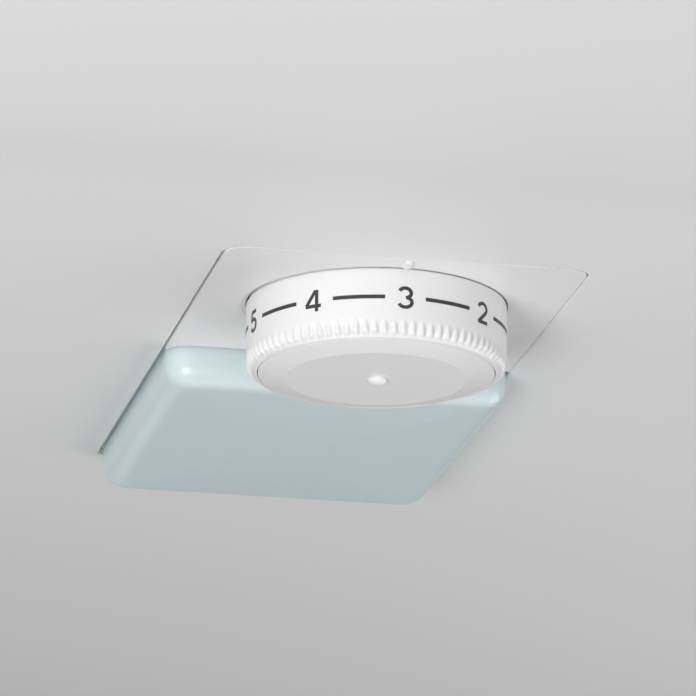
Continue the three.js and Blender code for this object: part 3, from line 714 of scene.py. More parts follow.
def ink_stroke(path, width, middle):
    """A closed film: a four-sided section, outside and inside edges on both sides of the path,
    carried along it and closed with a face at each end."""
    left, right = stroke_outline(path, width)
    outside, inside = DIAL_R + INK_THICKNESS, DIAL_R - 0.05
    grid = np.stack([on_skirt(left, middle, outside), on_skirt(right, middle, outside),
                     on_skirt(right, middle, inside), on_skirt(left, middle, inside)], 1)
    faces = grid_faces(len(path), 4, False, False, False)
    last = (len(path) - 1) * 4
    faces += [[3, 2, 1, 0], [last, last + 1, last + 2, last + 3]]
    return mesh_piece("stroke", grid.reshape(-1, 3), faces)


# %% Scale
SCALE_CENTRE = -5.15
LINE_BOX = 0.86                      # the height of a numeral's middle line in its box
DASH_FROM, DASH_TO = math.radians(9.1), math.radians(8.9)


def numeral_strokes(number, middle):
    """The strokes of one numeral, its box scaled to height and centred on the scale's line."""
    made = []
    inner = (NUMERAL_HEIGHT - STROKE) / LINE_BOX
    for path in NUMERALS[number]:
        scaled = (path - (0, 0.5)) * inner * (NUMERAL_WIDENING, 1) + (0, SCALE_CENTRE)
        made.append(ink_stroke(scaled, STROKE, middle))
    return made


strokes = []
for number in range(8):
    middle = SCALE_OFFSET + (3 - number) * DIAL_STEP
    strokes += numeral_strokes(number, middle)
    if number < 7:
        across = np.linspace(DASH_FROM - DIAL_STEP, -DASH_TO, 24) * DIAL_R
        dash = np.stack([across, np.full(24, SCALE_CENTRE)], 1)
        strokes.append(ink_stroke(dash, DASH_STROKE, middle))
scale = placed(join_pieces("dial_scale_print", *strokes), ink, "dial", "dial_white")
print("scale:", len(scale.data.polygons), "faces of ink")

# %% [markdown]
# ## The plate
# The plate is one moulding: a flat face with a round well for the dial, a window for the lamp,
# two lugs for the lens's pins and a pointer in front of the dial. We carry a section round each
# opening, from its edge out to the plate's edge, so that one formula gives the flat, the rounded
# edges and the well.
# %% Plate outlines
plate_low, plate_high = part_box("front_plate")
lens_low, lens_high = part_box("lamp_lens")
PLATE_X = plate_high.x / MM
PLATE_FRONT, PLATE_BACK = plate_low.y / MM, plate_high.y / MM
PLATE_TOP = 2.4
LENS_X, LENS_FRONT, LENS_BACK = lens_high.x / MM, lens_low.y / MM, lens_high.y / MM
SEAM_Y = LENS_FRONT - 0.3


def rectangle_outline(x0, x1, y0, y1, radii, per_corner=10, per_side=14):
    """A rectangle's outline, anticlockwise, with its own radius at each corner, as points."""
    centres = [(x1, y0, -90), (x1, y1, 0), (x0, y1, 90), (x0, y0, 180)]
    arcs = []
    for (cx, cy, start), r in zip(centres, radii):
        middle = (cx - math.copysign(r, cx - (x0 + x1) / 2), cy - math.copysign(r, cy - (y0 + y1) / 2))
        arcs.append(arc(*middle, r, r, start, start + 90, per_corner))
    sides = [np.linspace(a[-1], b[0], per_side + 2)[1:-1] for a, b in zip(arcs, arcs[1:] + arcs[:1])]
    return np.concatenate([part for pair in zip(arcs, sides) for part in pair])


def carried(outline, section):
    """Moves an outline inwards by each section point's first value, to its second as height.
    Inwards is along the outline's own normal."""
    ahead = np.roll(outline, -1, 0) - np.roll(outline, 1, 0)
    normal = np.stack([-ahead[:, 1], ahead[:, 0]], 1) / np.linalg.norm(ahead, axis=1)[:, None]
    inset, height = section[:, :1, None], section[:, 1:2, None]
    flat = outline[None] + normal[None] * inset
    return np.concatenate([flat, np.broadcast_to(height, flat.shape[:2] + (1,))], 2)


def strip(outline_a, section_a, outline_b, section_b, steps):
    """A closed ring between two outlines with as many points: the first outline's edge section,
    a straight run across, and the second outline's edge section."""
    edge_a, edge_b = carried(outline_a, section_a), carried(outline_b, section_b)
    t = np.linspace(0, 1, steps + 2)[1:-1, None, None]
    low_run = edge_a[-1][None] * (1 - t) + edge_b[0][None] * t
    top_run = edge_b[-1][None] * (1 - t) + edge_a[0][None] * t
    return np.concatenate([edge_a, low_run, edge_b, top_run])


def block_piece(name, x, y, z, corner=0.3):
    """A block with round corners in plan, its top and bottom edges softened."""
    outline = rectangle_outline(*x, *y, (corner,) * 4, 4, 3)
    soft = 0.6 * corner
    section = rounded_profile([(soft, z[0], 0), (0, z[0], soft), (0, z[1], soft), (soft, z[1], 0)], 4)
    shell = carried(outline, section)
    ends = [np.broadcast_to([*outline.mean(0), height], shell[:1].shape) for height in z]
    return grid_piece(name, np.concatenate([ends[0], shell, ends[1]]), pole_first=True, pole_last=True)


def rod_piece(name, r, x, y, z, soft=0.25):
    """A rod along X between two values of x, its ends softened."""
    profile = rounded_profile([(0, x[0], 0), (r, x[0], soft), (r, x[1], soft), (0, x[1], 0)], 4)
    return grid_piece(name, spin(profile, 32, "x", (0, y, z)), pole_first=True, pole_last=True)


# %% Plate around the dial
WELL_R, WELL_MOUTH_R, WELL_WALL, WELL_BORE = 22.62, 23.0, 24.25, 8.0
WELL_FLOOR, WELL_FLOOR_TOP = 5.2, 6.8
LEDGE_Z = 0.22
MOUTH_SHIFT = np.array([-0.25, 0.25])
WINDOW, REAR_FACE_Z = (-27, 27, 36, 92), 1.2
EDGE = 0.12
LENS_CORNER = 5.0


def front_outline():
    """The front of the plate, anticlockwise: two rounded corners at the front, and at the rear
    two horns that follow the lens's round corners as far as a moulding can, with blunt tips."""
    reach = LENS_CORNER + 0.25
    corner = arc(PLATE_X - 4, PLATE_FRONT + 4, 4, 4, -90, 0, 12)
    horn = arc(LENS_X - LENS_CORNER, SEAM_Y + reach, reach, reach, -27, -90, 12)
    side = np.linspace(corner[-1], (PLATE_X, horn[0, 1] - 0.12), 26)[1:]
    right = np.concatenate([corner, side, [(PLATE_X - 0.12, horn[0, 1])], horn])
    rear = np.linspace(horn[-1], horn[-1] * (-1, 1), 34)[1:-1]
    front = np.linspace(corner[0] * (-1, 1), corner[0], 30)[1:-1]
    return np.concatenate([right, rear, right[::-1] * (-1, 1), front])


def plate_round_well():
    """Outer edge section, then the flat face to the well's mouth, and down the well: wall,
    floor, bore, and back up the outside of the well to the plate's upper face. The mouth is
    round a centre slightly beside the dial's, because the shaft has play."""
    outer = front_outline()
    turn = np.maximum.accumulate(np.unwrap(np.arctan2(outer[:, 0], -outer[:, 1])))
    even = turn[0] + np.linspace(0, 2 * np.pi, len(outer), endpoint=False)
    turn = 0.85 * turn + 0.15 * even
    circle = np.stack([np.sin(turn), -np.cos(turn)], 1)
    edge = rounded_profile([(0.12, PLATE_TOP, 0), (0, PLATE_TOP, 0.1), (0, 0, EDGE), (0.13, 0, 0)])
    well = rounded_profile([(WELL_MOUTH_R + 0.5, 0, 0), (WELL_MOUTH_R, 0, 0.04),
                            (WELL_MOUTH_R - 0.02, LEDGE_Z - 0.08, 0.04), (WELL_R, LEDGE_Z, 0.06),
                            (WELL_R, WELL_FLOOR, 0.5), (WELL_BORE, WELL_FLOOR, 0.3),
                            (WELL_BORE, WELL_FLOOR_TOP, 0.3), (WELL_WALL, WELL_FLOOR_TOP, 0.5),
                            (WELL_WALL, PLATE_TOP, 0.4), (WELL_WALL + 0.6, PLATE_TOP, 0)])
    rim = carried(outer, edge)
    shift = np.clip((LEDGE_Z - well[:, 1]) / 0.08, 0, 1)[:, None, None] * MOUTH_SHIFT
    cup = np.concatenate([circle[None] * well[:, :1, None] + shift,
                          np.broadcast_to(well[:, 1:2, None], (len(well), len(outer), 1))], 2)
    t = np.linspace(0, 1, 6)[1:-1, None, None]
    face_run = rim[-1][None] * (1 - t) + cup[0][None] * t
    back_run = cup[-1][None] * (1 - t) + rim[0][None] * t
    return grid_piece("plate_front", np.concatenate([rim, face_run, cup, back_run]), wrap_rows=True)


def plate_round_window():
    """The rear of the plate is thinner, because the lens sits under it: a flat ring between the
    plate's edge and the lamp window."""
    outer = rectangle_outline(-PLATE_X, PLATE_X, SEAM_Y + 0.02, PLATE_BACK, (0.3, 4, 4, 0.3), 12, 20)
    window = rectangle_outline(*WINDOW, (3, 3, 3, 3), 12, 20)
    edge = rounded_profile([(0.3, PLATE_TOP, 0), (0, PLATE_TOP, 0.2), (0, REAR_FACE_Z, 0.2),
                            (0.4, REAR_FACE_Z, 0)])
    mouth = rounded_profile([(-0.4, REAR_FACE_Z, 0), (0, REAR_FACE_Z, 0.25), (0, PLATE_TOP, 0.25),
                             (-0.4, PLATE_TOP, 0)])
    return grid_piece("plate_rear", strip(outer, edge, window, mouth, 3), wrap_rows=True)


def pointer():
    """The marker in front of the dial: a low bar with a half-round end and a crowned top. Height =
    drop * (1 - s ** 6), where s runs from the bar's spine to its outline."""
    left, right, near, far = -0.62, 0.78, -26.9, -23.75
    crown_z, root_z = -0.62, 0.3
    outline = rectangle_outline(left, right, near, far, (0.6, 0.15, 0.15, 0.6), 10, 6)
    s = np.linspace(0, 1, 16)[:, None, None] ** 0.6
    middle = (left + right) / 2
    spine = np.stack([np.full(len(outline), middle), np.clip(outline[:, 1], near + 0.6, far - 0.2)], 1)[None]
    flat = spine * (1 - s) + outline[None] * s
    height = crown_z * (1 - s ** 6) + np.zeros(flat.shape[:2] + (1,))
    crown = np.concatenate([flat, height], 2)[::-1]
    root = np.concatenate([outline, np.full((len(outline), 1), root_z)], 1)[None]
    pole = np.broadcast_to([middle, (near + far) / 2, root_z], root.shape)
    top = np.broadcast_to([middle, (near + far) / 2, crown_z], root.shape)
    return grid_piece("pointer", np.concatenate([pole, root, crown, top]), pole_first=True, pole_last=True)


PIN_LOW, PIN_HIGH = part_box("lens_pin_right")
HINGE_Y, HINGE_Z = (PIN_LOW.y + PIN_HIGH.y) / 2 / MM, (PIN_LOW.z + PIN_HIGH.z) / 2 / MM
LUG_FROM, LUG_TO, LUG_R = PIN_LOW.x / MM + 2, PIN_HIGH.x / MM - 2, 1.1


def hinge_lugs():
    """Two short lugs under the rear edge, round at the foot, that hold the lens's pins."""
    made = []
    for side in (-1, 1):
        x = sorted((side * LUG_FROM, side * LUG_TO))
        made.append(block_piece("lug", x, (HINGE_Y - LUG_R, HINGE_Y + LUG_R), (HINGE_Z, 1.5), 0.2))
        made.append(rod_piece("lug", LUG_R, x, HINGE_Y, HINGE_Z, 0.15))
    return made


plate = join_pieces("front_plate_moulding", plate_round_well(), plate_round_window(), *hinge_lugs())
placed(plate, plate_white, "fixture", "plate_white", "front_plate")
placed(pointer(), plate_white, "fixture", "plate_white")
print("plate:", len(plate.data.polygons), "faces")

# %% [markdown]
# ## The lens
# The lens is a shallow tray with generous rounded edges, a little narrower than the plate. Its
# section starts at the rim, goes down the wall, round the edge and across the floor to a pole in
# the middle, and comes back inside at the wall's thickness.
# %% Lens
LENS_RIM, LENS_LOW = 0.9, lens_low.z / MM


def lens_tray():
    """Insets of one outline: each section point is (inset, height). The lower edge is one
    quadratic curve from the wall to the floor. The last stretch shrinks the inset outline to a
    point in the middle, and the floor is crowned, crown * (1 - t) ** 2."""
    outline = rectangle_outline(-LENS_X, LENS_X, LENS_FRONT, LENS_BACK, (LENS_CORNER,) * 4, 14, 26)
    rim, low, wall = LENS_RIM, LENS_LOW, 1.8
    crown, bend = 0.55, 4.6
    floor = low + crown
    edge = rounded_profile([(0.9, rim, 0), (0.0, rim, 0.5), (0.02, floor + bend, 0)])
    t = np.linspace(0, 1, 22)[1:, None]
    turn = (1 - t) ** 2 * edge[-1] + 2 * t * (1 - t) * np.array([0.05, floor]) + t ** 2 * (bend, floor)
    outside = np.concatenate([edge, turn])
    inside = rounded_profile([(bend, floor + wall, 0), (wall, floor + wall, 2.4),
                              (wall, rim, 0.4), (1.0, rim, 0)], 8)
    middle = outline.mean(0)

    def to_middle(edge_row, height):
        t = np.linspace(0, 1, 19)[1:, None, None]
        rows = edge_row[None] * (1 - t) + np.array([*middle, height]) * t
        rows[..., 2:] = height + crown * (1 - t) ** 2
        return rows

    outer_rows = carried(outline, outside)
    inner_rows = carried(outline, inside)
    floor_out = to_middle(outer_rows[-1], low)
    floor_in = to_middle(inner_rows[0], low + wall)[::-1]
    grid = np.concatenate([floor_out[::-1], outer_rows[::-1], inner_rows[::-1], floor_in[::-1]])
    return grid_piece("lens_tray", grid, pole_first=True, pole_last=True, sharp=60)


# %% [markdown]
# The lens swings down on two pins when the bulb is changed. Its rear rim is cut low, so that it
# clears the plate, and a barrel along that edge takes the pins between the plate's lugs. A
# springy tongue inside the front wall clicks into the window. These join the tray as solids
# join, so we use booleans, and keep their result.
# %% Hinge and latch of the lens
def worked(piece, tool, operation, sharp=40):
    """Cuts a tool out of a piece, or joins it on, and keeps the result as plain faces."""
    step = piece.modifiers.new("step", "BOOLEAN")
    step.operation = operation
    step.solver = "EXACT"
    step.object = tool
    result = bpy.data.meshes.new_from_object(piece.evaluated_get(bpy.context.evaluated_depsgraph_get()))
    piece.modifiers.clear()
    piece.data = result
    bpy.data.objects.remove(tool)
    result.shade_smooth()
    result.set_sharp_from_angle(angle=math.radians(sharp))
    return piece


def hinged_lens():
    """The tray less a block behind the hinge and two notches, plus a barrel, a tongue and the
    barb on the tongue."""
    piece = lens_tray()
    rear = block_piece("rear", (-50, 50), (HINGE_Y, LENS_BACK + 5), (HINGE_Z - 0.2, 8), 0.1)
    piece = worked(piece, rear, "DIFFERENCE")
    piece = worked(piece, rod_piece("barrel", 1.15, (-26, 26), HINGE_Y, HINGE_Z), "UNION")
    for side in (-1, 1):
        x = sorted((side * (LUG_FROM - 0.3), side * (LUG_TO + 0.3)))
        notch = block_piece("notch", x, (HINGE_Y - 1.45, LENS_BACK + 2), (HINGE_Z - 1.55, 6), 0.1)
        piece = worked(piece, notch, "DIFFERENCE")
    tongue = block_piece("tongue", (-6, 6), (36.4, 37.6), (LENS_LOW + 1, 5.0), 0.4)
    barb = rod_piece("barb", 0.55, (-5.4, 5.4), 36.5, 4.1)
    return worked(worked(piece, tongue, "UNION"), barb, "UNION")


lens = placed(hinged_lens(), lens_blue, "lens", "lens_blue", "lamp_lens")
print("lens:", len(lens.data.polygons), "faces")

# %% [markdown]
# ## The ceiling round it
# The unit is nothing without the sheet that it sits in, so a piece of the refrigerator's
# moulded ceiling is staged round it: a flat sheet with a rounded cut-out, a shallow step down to
# a ledge and, in front, the soft bend where the ceiling begins. It is not part of the object.
# Rays from the camera pass through the sheet's upper side, so the housing can be seen from
# above.
# %% Ceiling sheet
def ceiling_sheet():
    """Rings round the cut-out: the far edge, the flat, the rolled lip, and the wall up to the
    ledge against the housing. Height = -drop * (share of the bend) ** 2 in front of the unit,
    then a slope, and a slight bow before the unit, -drop * exp(-(x / width) ** 2)."""
    gap_left, gap_right, gap_front, gap_back = 0.38, 0.24, 0.13, 0.4
    ledge, reach = 4.9, 1500.0
    bend_from, bend_length, bend_drop = -52.0, 28.0, 0.8
    slope_from, slope = -66.0, 0.03
    bow_from, bow_middle, bow_width, bow_drop = -26.0, -2, 21, 0.22
    mouth = rectangle_outline(-PLATE_X - gap_left, PLATE_X + gap_right, PLATE_FRONT - gap_front,
                              PLATE_BACK + gap_back, (4.3,) * 4, 12, 24)
    lip = rounded_profile([(-2.5, 0, 0), (0, 0, 0.55), (0, ledge, 0.3), (3.7, ledge, 0)], 9)
    inner = carried(mouth, lip)
    middle = mouth.mean(0)
    far = middle + (mouth - middle) / np.abs(mouth - middle).max(1)[:, None] * reach
    share = (np.linspace(1, 0, 60) ** 3)[:-1, None, None]
    flat = inner[0][None, :, :2] * (1 - share) + far[None] * share
    bend = np.clip((bend_from - flat[..., 1]) / bend_length, 0, 1)
    beyond = np.clip(slope_from - flat[..., 1], 0, None)
    height = -bend_drop * bend ** 2 - slope * beyond
    grid = np.concatenate([np.concatenate([flat, height[..., None]], 2), inner[1:]])
    ahead = np.clip((bow_from - grid[..., 1]) / 2, 0, 1)
    grid[..., 2] -= bow_drop * ahead * np.exp(-((grid[..., 0] - bow_middle) / bow_width) ** 2)
    mesh = bpy.data.meshes.new("ceiling_sheet")
    mesh.from_pydata(grid.reshape(-1, 3) * MM, [], grid_faces(len(grid), grid.shape[1], False, False, False))
    mesh.shade_smooth()
    if mesh.polygons[0].normal.z > 0:
        mesh.flip_normals()
    made = bpy.data.objects.new("ceiling_sheet", mesh)
    scene.collection.objects.link(made)
    return made


def make_ceiling_finish():
    """The same moulded grain as the plate, seen only from below by the camera."""
    material, tree, shader, _ = start_finish(
        "ceiling_sheet_white", moulded_grain, Colour=grey(0.78), Patch_Colour=grey(0.77), Roughness=0.5,
        Grain_Size=2500.0, Grain_Depth=0.08, Patch_Amount=0.06, Gloss_Variation=0.0)
    behind = node(tree, "ShaderNodeNewGeometry").outputs["Backfacing"]
    from_camera = node(tree, "ShaderNodeLightPath").outputs["Is Camera Ray"]
    hidden = arithmetic(tree, "MULTIPLY", behind, from_camera)
    clear = node(tree, "ShaderNodeBsdfTransparent")
    mixed = node(tree, "ShaderNodeMixShader", Fac=hidden)
    tree.links.new(shader.outputs[0], mixed.inputs[1])
    tree.links.new(clear.outputs[0], mixed.inputs[2])
    tree.links.new(mixed.outputs[0], tree.nodes["Material Output"].inputs["Surface"])
    return material


ceiling = ceiling_sheet()
ceiling.data.materials.append(make_ceiling_finish())

# %% [markdown]
# ## Metals, glass and the rest
# The pieces inside are ordinary stock: zinc-plated steel, brass, copper, phenolic, porcelain.
# They are seen when the lens is open or the housing is off, and each finish follows its stock.
# %% Finishes inside
steel = metal("zinc_plated_steel", (0.60, 0.61, 0.62, 1), (0.42, 0.41, 0.38, 1), 0.36, Dulling=0.5)
brass = metal("plain_brass", (0.72, 0.56, 0.28, 1), (0.42, 0.30, 0.14, 1), 0.32, Dulling=0.55)
copper = metal("dulled_copper", (0.72, 0.42, 0.28, 1), (0.38, 0.22, 0.15, 1), 0.34, Dulling=0.6)
aluminium = metal("rolled_aluminium", (0.82, 0.83, 0.84, 1), (0.62, 0.63, 0.64, 1), 0.24,
                  (60.0, 1400.0, 1400.0))
tungsten = metal("tungsten_wire", (0.30, 0.30, 0.31, 1), (0.18, 0.18, 0.20, 1), 0.45,
                 (4000.0, 4000.0, 4000.0))
nylon = plastic("natural_nylon", (0.80, 0.77, 0.66, 1), (0.74, 0.70, 0.58, 1), 0.45, 3000.0, 0.1,
                Patch_Amount=0.5)
phenolic = plastic("brown_phenolic", (0.060, 0.034, 0.022, 1), (0.10, 0.06, 0.04, 1), 0.34, 1800.0, 0.15,
                   Patch_Amount=0.8, Patch_Size=900.0)
porcelain = plastic("glazed_porcelain", (0.82, 0.80, 0.73, 1), (0.76, 0.73, 0.64, 1), 0.14, 600.0, 0.05,
                    Patch_Amount=0.5, Patch_Size=160.0)
foam = plastic("closed_cell_foam", grey(0.035), grey(0.075), 0.9, 1500.0, 1.0,
               Patch_Amount=0.9, Patch_Size=1600.0)
rubber = plastic("black_rubber", grey(0.022), grey(0.04), 0.72, 2600.0, 0.3,
                 Patch_Amount=0.7, Patch_Size=300.0)
lead_brown = plastic("brown_lead_cover", (0.20, 0.09, 0.045, 1), (0.26, 0.13, 0.07, 1), 0.38, 2400.0, 0.1)


def make_clear_glass():
    """Blown glass: clear, with the slight waviness of its surface in the normal."""
    material, _, shader, _ = start_finish(
        "blown_glass", moulded_grain, Colour=(0.97, 0.985, 0.98, 1), Patch_Colour=(0.93, 0.96, 0.95, 1),
        Roughness=0.04, Grain_Size=180.0, Grain_Depth=0.3, Gloss_Variation=0.02, Patch_Size=120.0)
    shader.inputs["Transmission Weight"].default_value = 1.0
    shader.inputs["IOR"].default_value = 1.5
    return material


glass = make_clear_glass()
FINISH_OF_SLOT = {
    "casing_grey": housing_white, "foam_black": foam, "zinc_steel": steel, "brass": brass,
    "copper": copper, "nylon": nylon, "bakelite": phenolic, "ceramic": porcelain, "glass": glass,
    "aluminium": aluminium, "tungsten": tungsten, "rubber": rubber, "wire_brown": lead_brown,
    "plate_white": plate_white, "dial_white": dial_white, "lens_blue": lens_blue,
}
body_of_node = {name: body for body, names in frame["record"]["behaviour"]["bodies"].items()
                for name in names}
slot_of_node = {part["node"]: part["material_slot"] for part in frame["record"]["subparts"]}

# %% [markdown]
# ## The lamp
# The lamp is a clear pear-shaped bulb on a small threaded cap, screwed into a porcelain holder.
# Glass is blown, so its profile is a smooth line through a few stations. The cap and the shell
# that it screws into are thin brass, rolled into a round thread: the radius follows a cosine
# that climbs as it goes round.
# %% Bulb and holder
LAMP_AXIS = (0, 0, 19.0)
THREAD_PITCH = 2.82


def in_place_of(name, piece):
    """Gives a new piece the finish that belongs to the slot of the solid that it replaces, and that solid's
    body.
    """
    slot_name = slot_of_node[name]
    return placed(piece, FINISH_OF_SLOT[slot_name], body_of_node[name], slot_name, name)


def lamp_round(name, profile, columns=96, thread=0.0, between=(0, 0), ends=(True, True)):
    """A profile of (radius, y) turned about the lamp's axis. Between two values of y the radius
    gains depth * cos(2 pi y / pitch - angle), fading at both ends."""
    grid = spin(profile, columns, "y", (0, 0, 0))
    angle = np.linspace(0, 2 * np.pi, columns, endpoint=False)[None, :]
    y = grid[..., 1]
    fade = np.clip((y - between[0]) / 0.8, 0, 1) * np.clip((between[1] - y) / 0.8, 0, 1)
    radius = np.hypot(grid[..., 0], grid[..., 2]) + 1e-9
    swell = 1 + thread * fade * np.cos(2 * np.pi * y / THREAD_PITCH - angle) / radius
    grid[..., 0] *= swell
    grid[..., 2] *= swell
    closed = not (ends[0] or ends[1])
    return grid_piece(name, grid + LAMP_AXIS, wrap_rows=closed, pole_first=ends[0], pole_last=ends[1])


def bulb_glass():
    """Outside from the crown down to the neck, then back up inside at the glass's thickness."""
    outside = along([(0, 92.4), (3.9, 91.9), (7.6, 90.2), (11.1, 86), (12.8, 80), (12.8, 74), (11.4, 68),
                     (8.5, 63), (6.2, 59), (5.8, 54), (5.8, 46)], 70)
    inside = along([(5.2, 46), (5.2, 54), (5.6, 59), (7.9, 63), (10.8, 68), (12.2, 74), (12.2, 80),
                    (10.5, 85.8), (7.2, 89.7), (3.7, 91.3), (0, 91.7)], 70)
    return lamp_round("bulb_glass_blown", np.concatenate([outside, inside]))


def densely(profile, step=0.3):
    """The same profile with points no further apart than a step."""
    gaps = np.linalg.norm(np.diff(profile, axis=0), axis=1)
    parts = [np.linspace(a, b, max(int(gap / step), 1) + 1)[:-1]
             for a, b, gap in zip(profile[:-1], profile[1:], gaps)]
    return np.concatenate([*parts, profile[-1:]])


in_place_of("bulb_glass", bulb_glass())
cap = rounded_profile([(0, 39.9, 0), (2.4, 39.9, 0.5), (4.6, 42, 0.4), (6.65, 43.4, 0.5), (6.65, 57, 0.15),
                       (6.25, 57, 0.15), (6.25, 44.2, 0.5), (4, 43, 0.3), (0, 43, 0)])
in_place_of("bulb_cap", lamp_round("bulb_cap_rolled", densely(cap), thread=0.25, between=(44.5, 56)))
cup = rounded_profile([(0, 32.8, 0), (12, 32.8, 0.8), (12, 44, 0), (11.6, 44.3, 0.1), (11.6, 45.3, 0.1),
                       (12, 45.6, 0), (12, 51, 0.6), (10.6, 56.6, 0.6), (8.6, 56.6, 0.5), (8.6, 36.8, 0.3),
                       (0, 36.8, 0)])
in_place_of("lamp_holder", lamp_round("lamp_holder_glazed", cup))
shell = rounded_profile([(8.0, 38, 0), (8.0, 56, 0.1), (7.65, 56, 0.1), (7.65, 37.2, 0.1), (8.0, 37.2, 0.1),
                         (8.0, 38, 0)])[:-1]
closed_shell = densely(np.concatenate([shell, shell[:1]]))[:-1]
in_place_of("holder_shell", lamp_round("holder_shell_rolled", closed_shell, thread=0.14,
                                       between=(38.5, 55), ends=(False, False)))
stem = along([(0, 47), (2.6, 47), (4.0, 47.3), (3.3, 49.5), (2.3, 52), (1.7, 57), (1.45, 62), (1.9, 64),
              (1.2, 64.9), (0, 65)], 60)
in_place_of("bulb_stem", lamp_round("bulb_stem_pressed", stem))

# %% [markdown]
# The filament is a fine coil of tungsten, held up by two stiffer wires from the stem. The range
# spring in the thermostat is a coil too. Both are a round wire carried along a line, and the
# line itself is a helix.
# %% Wires and coils
def tube(path, radius, sides=8, reference=(0, 1, 0)):
    """Rings of points round a path: side = tangent x reference, up = side x tangent, and each
    ring is side * cos a + up * sin a. Each end closes in a pole."""
    path = np.asarray(path, float)
    ahead = np.gradient(path, axis=0)
    ahead /= np.linalg.norm(ahead, axis=1)[:, None]
    side = np.cross(ahead, np.array(reference, float))
    side /= np.linalg.norm(side, axis=1)[:, None]
    up = np.cross(side, ahead)
    a = np.linspace(0, 2 * np.pi, sides, endpoint=False)[None, :, None]
    rings = path[:, None] + radius * (side[:, None] * np.cos(a) + up[:, None] * np.sin(a))
    ends = [np.broadcast_to(path[k], rings[:1].shape) for k in (0, -1)]
    return np.concatenate([ends[0], rings, ends[1]])


def coil_on(path, radius, turns, reference):
    """A helix wound round a path: the same frame as a tube's, with the angle running on."""
    ring = tube(path, radius, 4, reference)[1:-1]
    side, up = (ring[:, 0] - ring[:, 2]) / 2, (ring[:, 1] - ring[:, 3]) / 2
    a = np.linspace(0, 2 * np.pi * turns, len(path))[:, None]
    return path + side * np.cos(a) + up * np.sin(a)


def wire_piece(name, path, radius, sides=8, reference=(0, 1, 0)):
    """One closed wire."""
    return grid_piece(name, tube(path, radius, sides, reference), pole_first=True, pole_last=True)


def filament():
    """Two supports from the stem's tip, and the coil strung between them."""
    z = LAMP_AXIS[2]
    supports = []
    for side in (-1, 1):
        bent = along([(side * x, y, z) for x, y in ((1.0, 64.5), (3.2, 69), (5.6, 73), (6.0, 74.4))], 24)
        supports.append(wire_piece("support", bent, 0.22, 10, (0, 0, 1)))
    line_of_coil = along([(-6, 74, z), (-4, 76.3, z), (0, 77.4, z), (4, 76.3, z), (6, 74, z)], 720)
    turns = coil_on(line_of_coil, 0.42, 45, (0, 0, 1))
    return join_pieces("bulb_filament_coiled", *supports, wire_piece("coil", turns, 0.1, 6, (0, 0, 1)))


SPRING_Y = 12.2


def range_spring():
    """A helix, (r cos a, r sin a, bottom + length * climb), whose climb stops for about half a
    turn at each end, as ground ends do."""
    turns, radius, wire = 5, 2.6, 0.4
    bottom, length, flat = 19.8, 6.3, 0.09
    t = np.linspace(0, 1, 300)
    climb = np.clip((t - flat) / (1 - 2 * flat), 0, 1)
    a = 2 * np.pi * turns * t
    path = np.stack([radius * np.cos(a), SPRING_Y + radius * np.sin(a), bottom + length * climb], 1)
    return wire_piece("range_spring_wound", path, wire, 12, (0, 0, 1))


in_place_of("bulb_filament", filament())
spring = in_place_of("range_spring", range_spring())
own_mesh(spring)

# %% [markdown]
# The bellows is a stack of brass folds pressed out of one tube, and the reflector is a strip of
# bright sheet bent over the bulb. Sheet has no sharp bends, so both start from lines with
# rounded corners.
# %% Bellows and reflector
def bellows():
    """Radius = middle - swing * cos(2 pi * folds * t) up the pleated part, closed at both ends."""
    middle, swing, folds, bottom, height = 6.1, 1.1, 4, 30.0, 5.2
    t = np.linspace(0, 1, 120)
    pleats = np.stack([middle - swing * np.cos(2 * np.pi * folds * t), bottom + height * t], 1)
    foot = rounded_profile([(0, 28.6, 0), (2.2, 28.6, 0.3), (2.2, 29.9, 0.2), (5.0, 29.95, 0)])
    profile = np.concatenate([foot[:-1], pleats, [(4.5, 35.2), (0, 35.2)]])
    return grid_piece("bellows_pressed", spin(profile, 72, "z", (0, 2.0, 0)), pole_first=True, pole_last=True)


def reflector():
    """A strip's section, its outer line and its inner line one thickness within, run along Y and
    closed with a row of quads at each end."""
    bends = rounded_profile([(-24, 25, 0), (-16, 36, 2.2), (16, 36, 2.2), (24, 25, 0)], 9)
    ahead = np.gradient(bends, axis=0)
    within = np.stack([ahead[:, 1], -ahead[:, 0]], 1) / np.linalg.norm(ahead, axis=1)[:, None]
    front, back, thick, soft = 60.0, 84.0, 0.6, 0.12
    ring = np.concatenate([bends, (bends + thick * within)[::-1]])
    y = np.array([front, front + soft, back - soft, back])[:, None]
    shrink = np.array([0.12, 0, 0, 0.12])[:, None]
    core = bends + thick / 2 * within
    middle = np.concatenate([core, core[::-1]])
    flat = ring[None] * (1 - shrink[..., None]) + middle[None] * shrink[..., None]
    level = np.broadcast_to(y[..., None], flat.shape[:2] + (1,))
    grid = np.concatenate([flat[..., :1], level, flat[..., 1:]], 2)
    faces = grid_faces(4, len(ring), False, False, False)
    count, last = len(ring), 3 * len(ring)
    for k in range(len(bends) - 1):
        faces.append([count - 1 - k, count - 2 - k, k + 1, k])
        faces.append([last + k, last + k + 1, last + count - 2 - k, last + count - 1 - k])
    return mesh_piece("reflector_bent", grid.reshape(-1, 3), faces)


in_place_of("bellows", bellows())
in_place_of("reflector", reflector())

